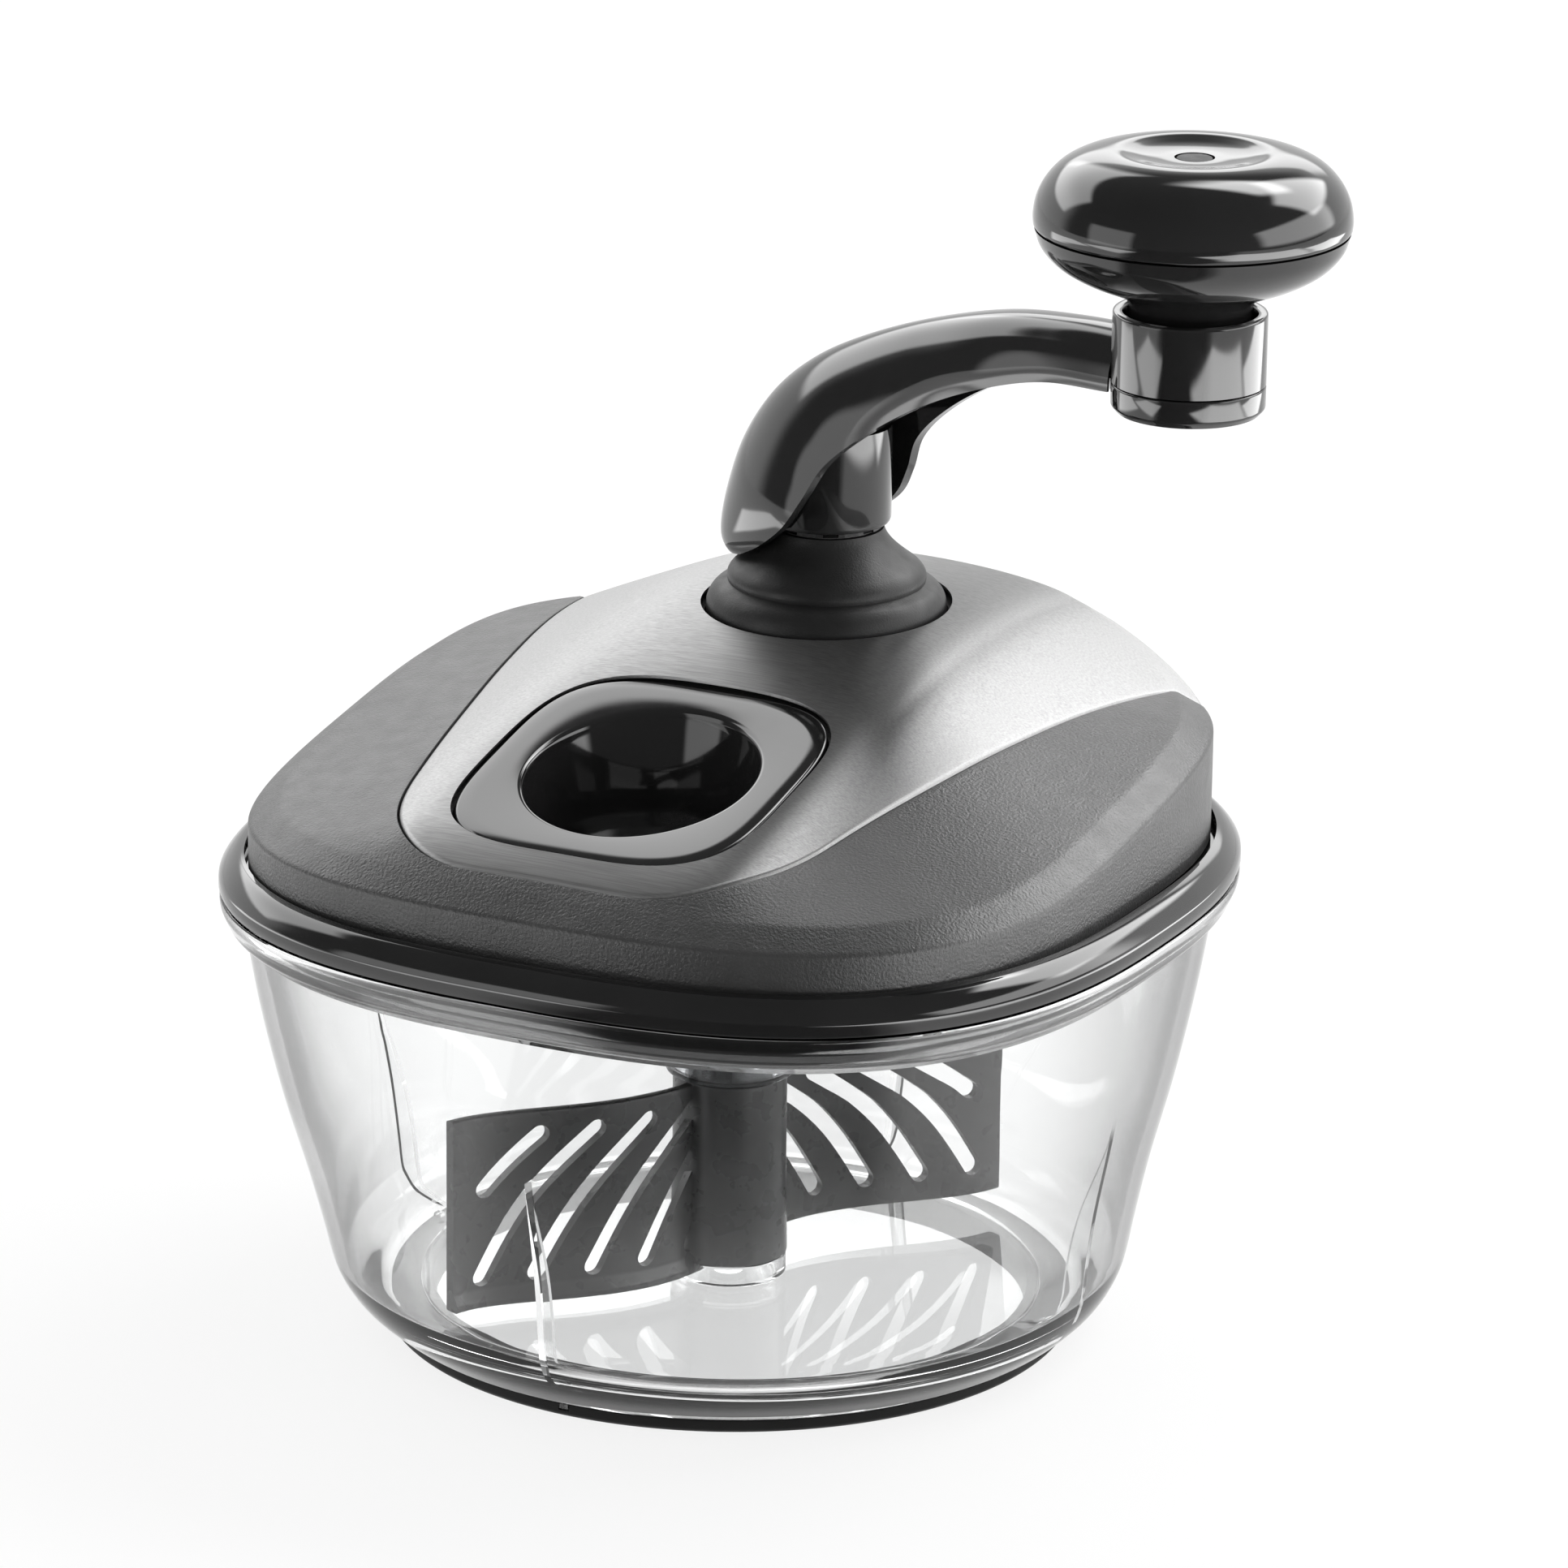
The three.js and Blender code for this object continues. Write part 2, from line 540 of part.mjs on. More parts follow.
function makeBowl() {
  const recessRadius = RING_LIP_RADIUS + SEAT_GAP;
  const outer = BOWL_HEIGHT_SHARES.map(bowlHeight)
    .map((height) => outlineRing(bowlOuterHalf(height), bowlPower(height), height));
  const lip = LIP_SHARES.map(([out, up]) => outlineRing(
    mix(BOWL_NECK_HALF, BOWL_LIP_HALF, out),
    RIM_POWER,
    mix(BOWL_NECK_TOP, BOWL_TOP, up),
  ));
  const filletTop = FLOOR_TOP + FLOOR_FILLET;
  const inner = BOWL_HEIGHT_SHARES.map(bowlHeight)
    .filter((height) => height > filletTop)
    .reverse()
    .map((height) => outlineRing(bowlOuterHalf(height) - BOWL_WALL, bowlPower(height), height));
  const filletHalf = bowlOuterHalf(filletTop) - BOWL_WALL;
  const fillet = FLOOR_FILLET_SHARES.map(([out, up]) => {
    const height = mix(FLOOR_TOP, filletTop, up);
    return outlineRing(mix(FLOOR_RADIUS, filletHalf, out), bowlPower(height), height);
  });
  const shell = toSolid(skin([
    pole(FLOOR_UNDERSIDE),
    outlineRing(recessRadius, bowlPower(FOOT_BOTTOM), FLOOR_UNDERSIDE),
    outlineRing(recessRadius, bowlPower(FOOT_BOTTOM), FOOT_BOTTOM),
    ...outer,
    ...lip,
    outlineRing(BOWL_NECK_HALF - LIP_BULGE, RIM_POWER, BOWL_TOP),
    ...inner,
    ...fillet,
    pole(FLOOR_TOP),
  ]));
  const root = middle(FLOOR_UNDERSIDE, FLOOR_TOP);
  const pivot = cylinder(PIVOT_RING_RADIUS, root, PIVOT_RING_TOP)
    .subtract(cylinder(PIVOT_RING_RADIUS - BOWL_WALL, FLOOR_TOP, PIVOT_RING_TOP + OVERRUN))
    .add(cylinder(PIVOT_PIN_RADIUS, root, PIVOT_PIN_TOP, SMALL_STEPS));
  let bowl = shell.add(pivot);
  circleAngles(RIB_COUNT).forEach((angle) => {
    bowl = bowl.add(makeRib().rotate([0, 0, THREE.MathUtils.radToDeg(angle)]));
    bowl = bowl.add(makeLug(0).rotate([0, 0, THREE.MathUtils.radToDeg(angle)]));
  });
  return piece('bowl', bowl, clearPlastic());
}

// A thin upright rib, deepest at the floor and fading into the wall at its top
function makeRib() {
  const upper = RIB_LEVEL_SHARES.map((share) => mix(FLOOR_TOP, RIB_TOP, share));
  const levels = [FLOOR_TOP + FLOOR_FILLET, ...upper];
  const inWall = levels.map((height) => [bowlOuterHalf(height) - BOWL_WALL / 2, height]);
  const face = levels.map((height) => {
    const depth = RIB_DEPTH * (1 - ramp(height, levels[0], RIB_TOP) ** 2);
    return [bowlOuterHalf(height) - BOWL_WALL - depth, height];
  }).reverse();
  const foot = [FLOOR_RADIUS + RIB_DEPTH / 2, middle(FLOOR_UNDERSIDE, FLOOR_TOP)];
  return uprightFin([foot, [FOOT_RADIUS, FLOOR_TOP], ...inWall, ...face], RIB_THICKNESS);
}

// A tab of the foot that keys into the base ring, larger by a clearance for its notch
function makeLug(clearance) {
  const reach = LUG_REACH + clearance;
  const profile = [
    [FOOT_RADIUS - reach, FOOT_BOTTOM - LUG_DROP - clearance],
    [FOOT_RADIUS + clearance, FOOT_BOTTOM - LUG_DROP - clearance],
    [FOOT_RADIUS + clearance, FOOT_BOTTOM + RING_EDGE],
    [FOOT_RADIUS - reach, FOOT_BOTTOM + RING_EDGE],
  ];
  return uprightFin(profile, LUG_WIDTH + 2 * clearance);
}

// Extrudes a [radius, height] outline to a thickness centred on the XZ plane
function uprightFin(profile, thickness) {
  const shape = new THREE.Shape(profile.map(([radius, height]) => new THREE.Vector2(radius, height)));
  const geometry = new THREE.ExtrudeGeometry(shape, { depth: thickness, bevelEnabled: false });
  return toSolid(geometry.translate(0, 0, -thickness / 2).rotateX(Math.PI / 2));
}

function makeBaseRing() {
  const top = FOOT_BOTTOM - SEAT_GAP;
  const lipTop = FLOOR_UNDERSIDE - 2 * SEAT_GAP;
  let ring = revolveRing([
    [RING_INNER, 0],
    [FOOT_RADIUS - RING_EDGE, 0],
    [FOOT_RADIUS, RING_EDGE],
    [FOOT_RADIUS, top],
    [RING_LIP_RADIUS, top],
    [RING_LIP_RADIUS, lipTop],
    [RING_INNER, lipTop],
  ], OUTLINE_STEPS);
  circleAngles(RIB_COUNT).forEach((angle) => {
    ring = ring.subtract(makeLug(SEAT_GAP).rotate([0, 0, THREE.MathUtils.radToDeg(angle)]));
  });
  return piece('base_ring', ring, rubberBlack());
}

// Paddle
const bladeCurve = new THREE.CubicBezierCurve(
  ...BLADE_ALONG_SHARES.map((along, k) => new THREE.Vector2(
    along * BLADE_REACH,
    BLADE_ACROSS_SHARES[k] * BLADE_REACH,
  )),
);

// One diagonal slot, cut square through the blade, clipped to the blade's slotted window
function makeSlot(k, rise) {
  const low = BLADE_BOTTOM + SLOT_MARGIN_BELOW + rise;
  const centre = Array.from({ length: SLOT_STEPS + 1 }, (_, i) => {
    const share = i / SLOT_STEPS;
    const bulge = SLOT_BULGE * Math.sin(Math.PI * share);
    return new THREE.Vector2(
      SLOT_FIRST + SLOT_PITCH * k - SLOT_LEAN * share + bulge,
      low + (SLOT_RISE - rise) * share + bulge,
    );
  });
  const outerEnd = SLOT_OUTER_END + SLOT_WIDTH / 2;
  const inside = centre.filter((point) => point.x > SLOT_INNER_END && point.x < outerEnd);
  if (inside.length < 2) return null;
  const side = (sign) => inside.map((point, i) => {
    const from = inside[Math.max(i - 1, 0)];
    const to = inside[Math.min(i + 1, inside.length - 1)];
    const along = to.clone().sub(from).normalize();
    return new THREE.Vector2(
      point.x - (sign * along.y * SLOT_WIDTH) / 2,
      point.y + (sign * along.x * SLOT_WIDTH) / 2,
    );
  });
  const rounding = (point, from) => {
    const along = point.clone().sub(from).normalize().multiplyScalar(SLOT_WIDTH / 2);
    return point.clone().add(along);
  };
  const last = inside.length - 1;
  const outline = [
    ...side(1),
    rounding(inside[last], inside[last - 1]),
    ...side(-1).reverse(),
    rounding(inside[0], inside[1]),
  ];
  const depth = BLADE_REACH / 2;
  const geometry = new THREE.ExtrudeGeometry(new THREE.Shape(outline), { depth, bevelEnabled: false });
  return toSolid(geometry.translate(0, 0, -depth / 2).rotateX(Math.PI / 2));
}

// A wavy blade along +X: an upright sheet with a thickened lower lip, then its slots
function makeBlade(rise) {
  const bottom = BLADE_BOTTOM + rise;
  const top = HUB_TOP - SEAT_GAP;
  const lipTop = bottom + 2 * BLADE_LIP;
  const rings = Array.from({ length: BLADE_STEPS + 1 }, (_, i) => {
    const share = i / BLADE_STEPS;
    const point = bladeCurve.getPoint(share);
    const tangent = bladeCurve.getTangent(share);
    const half = BLADE_THICKNESS / 2;
    const at = (across, height) => new THREE.Vector3(
      point.x - tangent.y * across,
      point.y + tangent.x * across,
      height,
    );
    return [
      at(-half, bottom),
      at(half + BLADE_LIP, bottom),
      at(half + BLADE_LIP, bottom + BLADE_LIP),
      at(half, lipTop),
      at(half, top),
      at(-half, top),
    ];
  });
  const middle = (ring) => [ring.reduce((sum, point) => sum.add(point), new THREE.Vector3())
    .divideScalar(ring.length)];
  let blade = toSolid(skin([middle(rings[0]), ...rings, middle(rings[BLADE_STEPS])]));
  for (let k = 0; k < SLOT_COUNT; k += 1) {
    const slot = makeSlot(k, rise);
    if (slot) blade = blade.subtract(slot);
  }
  return blade;
}

function makePaddle() {
  const bottom = PIVOT_RING_TOP + SEAT_GAP;
  const hub = revolve([
    [0, bottom],
    [HUB_RADIUS + HUB_FLARE, bottom],
    [HUB_RADIUS, middle(bottom, HUB_TOP)],
    [HUB_RADIUS, HUB_TOP],
    [0, HUB_TOP],
  ]);
  const bore = cylinder(
    PIVOT_PIN_RADIUS + RUN_GAP,
    bottom - OVERRUN,
    PIVOT_PIN_TOP + BORE_DEPTH_MARGIN,
    SMALL_STEPS,
  );
  const ringClearance = cylinder(PIVOT_RING_RADIUS + RUN_GAP, BLADE_BOTTOM - OVERRUN, bottom);
  const spigot = prism(hexagon(DRIVE_HEX), HUB_TOP - OVERRUN, DRIVE_HEX_TOP);
  const near = makeBlade(0).rotate([0, 0, BLADE_ANGLE]);
  const far = makeBlade(BLADE_STEP).rotate([0, 0, BLADE_ANGLE + FULL_TURN / 2]);
  const paddle = hub.add(near).add(far).add(spigot).subtract(bore).subtract(ringClearance);
  return piece('paddle', paddle, paddleGrey());
}

// Dome: the height of the lid's surface over any place in plan
function crownHeight(y) {
  const straight = CROWN_LEVEL + CROWN_SLOPE * y;
  const past = Math.max(y - CROWN_BEND_START, 0);
  const roll = Math.min(y + PLATE_FRONT - FRONT_ROLL_LENGTH, 0) / FRONT_ROLL_LENGTH;
  return straight - (CROWN_SLOPE * past * past) / (2 * CROWN_BEND_LENGTH) - FRONT_ROLL * roll * roll;
}

function plateHeight(x, y) {
  const reach = Math.abs(x);
  const arch = mix(ARCH_FRONT, ARCH_BACK, ramp(y, ARCH_RAMP_START, ARCH_RAMP_END));
  const within = Math.min(reach / SHOULDER_HALF, 1);
  const past = reach - SHOULDER_HALF;
  const shoulder = (past + Math.sqrt(past * past + SHOULDER_ROUND * SHOULDER_ROUND)) / 2;
  return crownHeight(y) - arch * within * within - SHOULDER_SLOPE * shoulder;
}

// Plan outline of the steel plate, past the lid's back edge, grown by a clearance
function plateOutline(clearance) {
  const back = COVER_HALF + OVERRUN;
  const sideHalf = (y) => PLATE_SIDE_HALF + PLATE_FLARE * (y + PLATE_SIDE_START) + clearance;
  const front = -PLATE_FRONT - clearance;
  const corner = new THREE.QuadraticBezierCurve(
    new THREE.Vector2(PLATE_FRONT_FLAT, front),
    new THREE.Vector2(PLATE_CORNER_HALF + clearance, front),
    new THREE.Vector2(sideHalf(-PLATE_SIDE_START), -PLATE_SIDE_START),
  ).getPoints(PLATE_CORNER_STEPS).map((point) => [point.x, point.y]);
  const right = [...corner, [sideHalf(back), back]];
  const left = right.map(([x, y]) => [-x, y]).reverse();
  return [...right, ...left];
}

// Distance from the bowl's axis to an outline, along an angle
function reachOf(outline, angle) {
  const along = [Math.cos(angle), Math.sin(angle)];
  let reach = Infinity;
  outline.forEach(([ax, ay], k) => {
    const [bx, by] = outline[(k + 1) % outline.length];
    const across = along[0] * (by - ay) - along[1] * (bx - ax);
    const share = (ax * along[1] - ay * along[0]) / across;
    const distance = (ax * (by - ay) - ay * (bx - ax)) / across;
    if (share >= 0 && share <= 1 && distance > 0) reach = Math.min(reach, distance);
  });
  return reach;
}

const plateEdge = plateOutline(0);
const plateReach = circleAngles(OUTLINE_STEPS).map((angle) => reachOf(plateEdge, angle));
const angleIndex = (angle) => Math.round((angle * OUTLINE_STEPS) / (2 * Math.PI));
const shoulderHalf = COVER_HALF - CHAMFER_INSET;

// Height of the edge where the dome meets its chamfer
function edgeHeight(angle) {
  const radius = squareRadius(angle, shoulderHalf, COVER_POWER);
  const [x, y] = [radius * Math.cos(angle), radius * Math.sin(angle)];
  const side = mix(EDGE_FRONT, EDGE_BACK, ramp(y, -EDGE_RAMP, EDGE_RAMP));
  return plateReach[angleIndex(angle)] > radius ? plateHeight(x, y) : side;
}

function domeRing(share, drop) {
  return circleAngles(OUTLINE_STEPS).map((angle, k) => {
    const rim = squareRadius(angle, shoulderHalf, COVER_POWER);
    const radius = rim * share;
    const along = [Math.cos(angle), Math.sin(angle)];
    const [x, y] = along.map((part) => part * radius);
    let height = plateHeight(x, y);
    if (radius > plateReach[k]) {
      const [edgeX, edgeY] = along.map((part) => part * plateReach[k]);
      const past = (radius - plateReach[k]) / (rim - plateReach[k]);
      height = mix(plateHeight(edgeX, edgeY), edgeHeight(angle), past);
    }
    return new THREE.Vector3(x, y, height - drop);
  });
}

// The dome as a closed solid, drawn in by a wall thickness
function makeDome(drop, bottom, shares = DOME_RING_SHARES) {
  return toSolid(skin([
    pole(bottom),
    outlineRing(COVER_HALF - drop, COVER_POWER, bottom),
    outlineRing(COVER_HALF - drop, COVER_POWER, (angle) => edgeHeight(angle) - CHAMFER_DROP - drop / 2),
    outlineRing(shoulderHalf - drop / 2, COVER_POWER, (angle) => edgeHeight(angle) - drop),
    ...shares.map((share) => domeRing(share, drop)),
    pole(plateHeight(0, 0) - drop),
  ]));
}

// Places in the filler's leaning frame: out along an angle, and down from the crown's straight
function fillerRing(radiusAt, down, lean) {
  return circleAngles(OUTLINE_STEPS).map((angle) => {
    const radius = radiusAt(angle);
    const y = FILLER_Y + radius * Math.sin(angle);
    const level = CROWN_LEVEL + CROWN_SLOPE * (FILLER_Y + lean * (y - FILLER_Y));
    return new THREE.Vector3(radius * Math.cos(angle), y, level - down);
  });
}

const collarRadius = (half) => (angle) => squareRadius(angle, half, COLLAR_POWER);
const roundRadius = (radius) => () => radius;
const fillerPole = (down) => [new THREE.Vector3(0, FILLER_Y, CROWN_LEVEL + CROWN_SLOPE * FILLER_Y - down)];
const fillerCentreHeight = CROWN_LEVEL + CROWN_SLOPE * FILLER_Y;

function fillerPlug(half, top, bottom) {
  return toSolid(skin([
    fillerPole(bottom),
    fillerRing(collarRadius(half), bottom, 1),
    fillerRing(collarRadius(half), top, 1),
    fillerPole(top),
  ]));
}

function makeFunnel() {
  const top = COLLAR_SUNK;
  const under = COLLAR_SUNK + COLLAR_THICKNESS;
  const throat = fillerCentreHeight - FILLER_THROAT_LEVEL;
  const bottom = fillerCentreHeight - FILLER_BOTTOM;
  const taper = (share) => mix(FILLER_RADIUS, FILLER_THROAT_RADIUS, share);
  const mouth = FUNNEL_MOUTH_SHARES.map(([down, draw, lean]) => fillerRing(
    roundRadius(taper(draw)),
    mix(top, throat, down),
    lean,
  ));
  const outside = FUNNEL_OUTSIDE_SHARES.map(([down, draw, lean]) => fillerRing(
    roundRadius(taper(draw) + FILLER_WALL),
    mix(under, throat, down),
    lean,
  ));
  return skin([
    fillerRing(collarRadius(COLLAR_HALF - COLLAR_EDGE), top, 1),
    fillerRing(roundRadius(FILLER_RADIUS + COLLAR_EDGE), top, 1),
    ...mouth,
    fillerRing(roundRadius(FILLER_THROAT_RADIUS), bottom, 0),
    fillerRing(roundRadius(FILLER_THROAT_RADIUS + FILLER_WALL), bottom, 0),
    ...outside,
    fillerRing(collarRadius(COLLAR_HALF), under, 1),
    fillerRing(collarRadius(COLLAR_HALF), top + COLLAR_EDGE, 1),
  ], true);
}

// Lid cover: the dome's shell with its pockets, bosses and screw posts
const plateSeat = PLATE_THICKNESS + SEAT_GAP;
const coverSkin = plateSeat + COVER_WALL;
const lidFloorTop = LID_FLOOR_BOTTOM + LID_FLOOR;
const coverBottom = lidFloorTop + SEAT_GAP;
const domeTop = CROWN_LEVEL + CROWN_SLOPE * CROWN_BEND_LENGTH;
const spindleBushRadius = SPINDLE_RADIUS + RUN_GAP + BUSH_WALL;
const spindleBushBottom = GEAR_BOTTOM + GEAR_WIDTH + 2 * SEAT_GAP + BUSH_FLANGE_THICKNESS;
const spindleBushTop = spindleBushBottom + SPINDLE_TOP_LENGTH;
const seatHalf = COLLAR_HALF + SEAT_GAP;
const seatBottom = COLLAR_SUNK + COLLAR_THICKNESS + SEAT_GAP;
const funnelHole = FILLER_RADIUS + FILLER_WALL + SEAT_GAP;

const atGearAxis = (solid) => solid.translate([0, GEAR_AXIS_Y, 0]);
const lidScrewPlaces = circleAngles(LID_SCREW_COUNT).map((angle) => {
  const diagonal = angle + Math.PI / LID_SCREW_COUNT;
  const radius = squareRadius(diagonal, SKIRT_HALF - SKIRT_THICKNESS, RIM_POWER) - LID_SCREW_INSET;
  return [radius * Math.cos(diagonal), radius * Math.sin(diagonal), 0];
});
const towerScrewPlaces = circleAngles(TOWER_SCREW_COUNT).map((angle) => [
  TOWER_SCREW_CIRCLE * Math.cos(angle + Math.PI / 2),
  GEAR_AXIS_Y + TOWER_SCREW_CIRCLE * Math.sin(angle + Math.PI / 2),
  0,
]);

function makeCover() {
  const outerDome = makeDome(0, coverBottom);
  const coreDome = makeDome(plateSeat, coverBottom);
  const pocket = prism(plateOutline(SEAT_GAP), PLATE_SKIRT_BOTTOM - SEAT_GAP, domeTop + OVERRUN);
  const everyOther = DOME_RING_SHARES.filter((_, k) => k % 2 === 1);
  const hollow = makeDome(coverSkin, coverBottom - OVERRUN, everyOther);
  let inside = atGearAxis(cylinder(TOWER_RADIUS + COVER_WALL, TOWER_SEAT - TOWER_BOSS_DEPTH, domeTop))
    .add(cylinder(spindleBushRadius + BOSS_WALL, spindleBushBottom + SEAT_GAP, domeTop))
    .add(fillerPlug(seatHalf + SEAT_RIM, 0, seatBottom + SEAT_DEPTH));
  lidScrewPlaces.forEach((place) => {
    const post = cylinder(SCREW_RADIUS + BOSS_WALL, coverBottom, domeTop, SMALL_STEPS);
    inside = inside.add(post.translate(place));
  });
  const shell = outerDome.subtract(pocket).add(coreDome).subtract(hollow);
  let cover = shell.add(inside.intersect(coreDome));
  cover = cover
    .subtract(fillerPlug(seatHalf, -CHAMFER_INSET, seatBottom))
    .subtract(cylinder(funnelHole, coverBottom, domeTop, OUTLINE_STEPS).translate([0, FILLER_Y, 0]))
    .subtract(atGearAxis(cylinder(TOWER_RADIUS + SEAT_GAP, TOWER_SEAT - SEAT_GAP, domeTop + OVERRUN)))
    .subtract(atGearAxis(cylinder(TOWER_NECK_RADIUS + SEAT_GAP, coverBottom, domeTop)))
    .subtract(cylinder(spindleBushRadius + SEAT_GAP, coverBottom, spindleBushTop + SEAT_GAP));
  lidScrewPlaces.forEach((place) => {
    cover = cover.subtract(
      cylinder(SCREW_RADIUS + SEAT_GAP, coverBottom - OVERRUN, coverBottom + LID_SCREW_LENGTH, SMALL_STEPS)
        .translate(place),
    );
  });
  towerScrewPlaces.forEach((place) => {
    cover = cover.subtract(
      cylinder(SCREW_RADIUS + SEAT_GAP, coverBottom, TOWER_SEAT + OVERRUN, SMALL_STEPS).translate(place),
    );
  });
  return piece('lid_cover', cover, coverGrey());
}

function makePlate() {
  const sheet = makeDome(0, coverBottom).subtract(makeDome(PLATE_THICKNESS, coverBottom - OVERRUN));
  const plate = sheet
    .intersect(prism(plateEdge, PLATE_SKIRT_BOTTOM, domeTop + OVERRUN))
    .subtract(atGearAxis(cylinder(BELL_HOLE_RADIUS, coverBottom, domeTop + OVERRUN)))
    .subtract(fillerPlug(COLLAR_HALF + 2 * SEAT_GAP, -CHAMFER_INSET, seatBottom));
  return piece('steel_plate', plate, brushedSteel());
}

// Lid base: flange, groove and floor, with the bosses that carry the lower bushes
const crankBushRadius = SHAFT_RADIUS + RUN_GAP + BUSH_WALL;
const crankBushTop = GEAR_BOTTOM - SEAT_GAP - BUSH_FLANGE_THICKNESS;

const grooveHalf = COVER_HALF + GROOVE_WIDTH;

// A ring of the flange, a share of the way from the groove to the rim
function flangeRing(share, height) {
  return circleAngles(OUTLINE_STEPS).map((angle) => {
    const groove = squareRadius(angle, grooveHalf, COVER_POWER);
    const radius = mix(groove, squareRadius(angle, FLANGE_HALF, RIM_POWER), share);
    return new THREE.Vector3(radius * Math.cos(angle), radius * Math.sin(angle), height);
  });
}

function makeLidBase() {
  const flange = skin([
    pole(LID_FLOOR_BOTTOM),
    outlineRing(SKIRT_HALF - SKIRT_THICKNESS, RIM_POWER, LID_FLOOR_BOTTOM),
    outlineRing(SKIRT_HALF - SKIRT_THICKNESS, RIM_POWER, SKIRT_BOTTOM),
    outlineRing(SKIRT_HALF, RIM_POWER, SKIRT_BOTTOM),
    outlineRing(SKIRT_HALF, RIM_POWER, BOWL_TOP + SEAT_GAP),
    outlineRing(BOWL_LIP_HALF - SEAT_GAP, RIM_POWER, BOWL_TOP + SEAT_GAP),
    ...FLANGE_SHARES.map(([out, up]) => flangeRing(out, mix(BOWL_TOP, FLANGE_CREST, up))),
    outlineRing(grooveHalf, COVER_POWER, FLANGE_CREST - SEAT_GAP),
    outlineRing(grooveHalf - SEAT_GAP, COVER_POWER, lidFloorTop),
    pole(lidFloorTop),
  ]);
  const root = middle(LID_FLOOR_BOTTOM, lidFloorTop);
  const throatHole = FILLER_THROAT_RADIUS + FILLER_WALL + SEAT_GAP;
  let base = toSolid(flange)
    .add(atGearAxis(cylinder(crankBushRadius + BOSS_WALL, root, crankBushTop - SEAT_GAP)))
    .add(cylinder(spindleBushRadius + BOSS_WALL, root, crankBushTop - SEAT_GAP))
    .subtract(atGearAxis(cylinder(crankBushRadius + SEAT_GAP, lidFloorTop, crankBushTop)))
    .subtract(cylinder(spindleBushRadius + SEAT_GAP, LID_FLOOR_BOTTOM - OVERRUN, crankBushTop));
  base = base.subtract(
    cylinder(throatHole, LID_FLOOR_BOTTOM - OVERRUN, lidFloorTop + OVERRUN, OUTLINE_STEPS)
      .translate([0, FILLER_Y, 0]),
  );
  lidScrewPlaces.forEach((place) => {
    base = base
      .subtract(
        cylinder(SCREW_RADIUS + SEAT_GAP, LID_FLOOR_BOTTOM - OVERRUN, lidFloorTop + OVERRUN, SMALL_STEPS)
          .translate(place),
      );
  });
  return piece('lid_base', base, glossBlack());
}

// A flanged bush that sits in a boss, with the flange at its top or bottom
function makeBush(name, shaftRadius, bottom, top, flangeAtTop) {
  const bore = shaftRadius + RUN_GAP;
  const outer = bore + BUSH_WALL;
  const flange = outer + BUSH_FLANGE;
  const profile = flangeAtTop
    ? [[bore, bottom], [outer, bottom], [outer, top - BUSH_FLANGE_THICKNESS],
      [flange, top - BUSH_FLANGE_THICKNESS], [flange, top], [bore, top]]
    : [[bore, bottom], [flange, bottom], [flange, bottom + BUSH_FLANGE_THICKNESS],
      [outer, bottom + BUSH_FLANGE_THICKNESS], [outer, top], [bore, top]];
  return piece(name, revolveRing(profile, BUSH_STEPS), bronze());
}

// A screw with a pan head, driven upward from a seat
function makeScrew(name, length) {
  return piece(name, revolve([
    [0, -SCREW_HEAD_HEIGHT],
    [SCREW_HEAD_RADIUS - SCREW_HEAD_EDGE, -SCREW_HEAD_HEIGHT],
    [SCREW_HEAD_RADIUS, SCREW_HEAD_EDGE - SCREW_HEAD_HEIGHT],
    [SCREW_HEAD_RADIUS, 0],
    [SCREW_RADIUS, 0],
    [SCREW_RADIUS, length - SCREW_RADIUS],
    [0, length],
  ], SMALL_STEPS), plainSteel());
}

function placeAt(mesh, [x, y, z]) {
  mesh.position.set(x, y, z);
  return mesh;
}

// Outside of the bearing tower from its seat to its top, grown by a clearance
function bellProfile(clearance) {
  return BELL_SHARES.map(([radiusShare, heightShare]) => [
    mix(TOWER_TOP_RADIUS, TOWER_RADIUS, radiusShare) + clearance,
    mix(TOWER_SEAT, TOWER_TOP, heightShare),
  ]);
}

// Bearing tower, the waisted bell that the crank shaft comes out of
function makeTower() {
  const bore = crankBushRadius + SEAT_GAP;
  const shaftHole = SHAFT_RADIUS + 2 * RUN_GAP;
  const lowerSeat = TOWER_NECK_BOTTOM + TOWER_BUSH_LENGTH;
  const upperSeat = TOWER_TOP - TOWER_BUSH_LENGTH;
  const flangeBore = bore + BUSH_FLANGE;
  const flangeSeat = TOWER_TOP - BUSH_FLANGE_THICKNESS - SEAT_GAP;
  const tower = revolveRing([
    [bore, TOWER_NECK_BOTTOM],
    [TOWER_NECK_RADIUS, TOWER_NECK_BOTTOM],
    [TOWER_NECK_RADIUS, TOWER_SEAT],
    ...bellProfile(0),
    [flangeBore, TOWER_TOP],
    [flangeBore, flangeSeat],
    [bore, flangeSeat],
    [bore, upperSeat],
    [shaftHole, upperSeat],
    [shaftHole, lowerSeat],
    [bore, lowerSeat],
  ]);
  let drilled = tower;
  towerScrewPlaces.forEach(([x, y]) => {
    const holeTop = towerScrewTop + SEAT_GAP;
    const hole = cylinder(SCREW_RADIUS + SEAT_GAP, TOWER_SEAT - OVERRUN, holeTop, SMALL_STEPS);
    drilled = drilled.subtract(hole.translate([x, y - GEAR_AXIS_Y, 0]));
  });
  return piece('bearing_tower', drilled, mattBlack());
}
const towerScrewSeat = TOWER_SEAT - TOWER_BOSS_DEPTH - SEAT_GAP;
const towerScrewTop = towerScrewSeat + TOWER_SCREW_LENGTH;

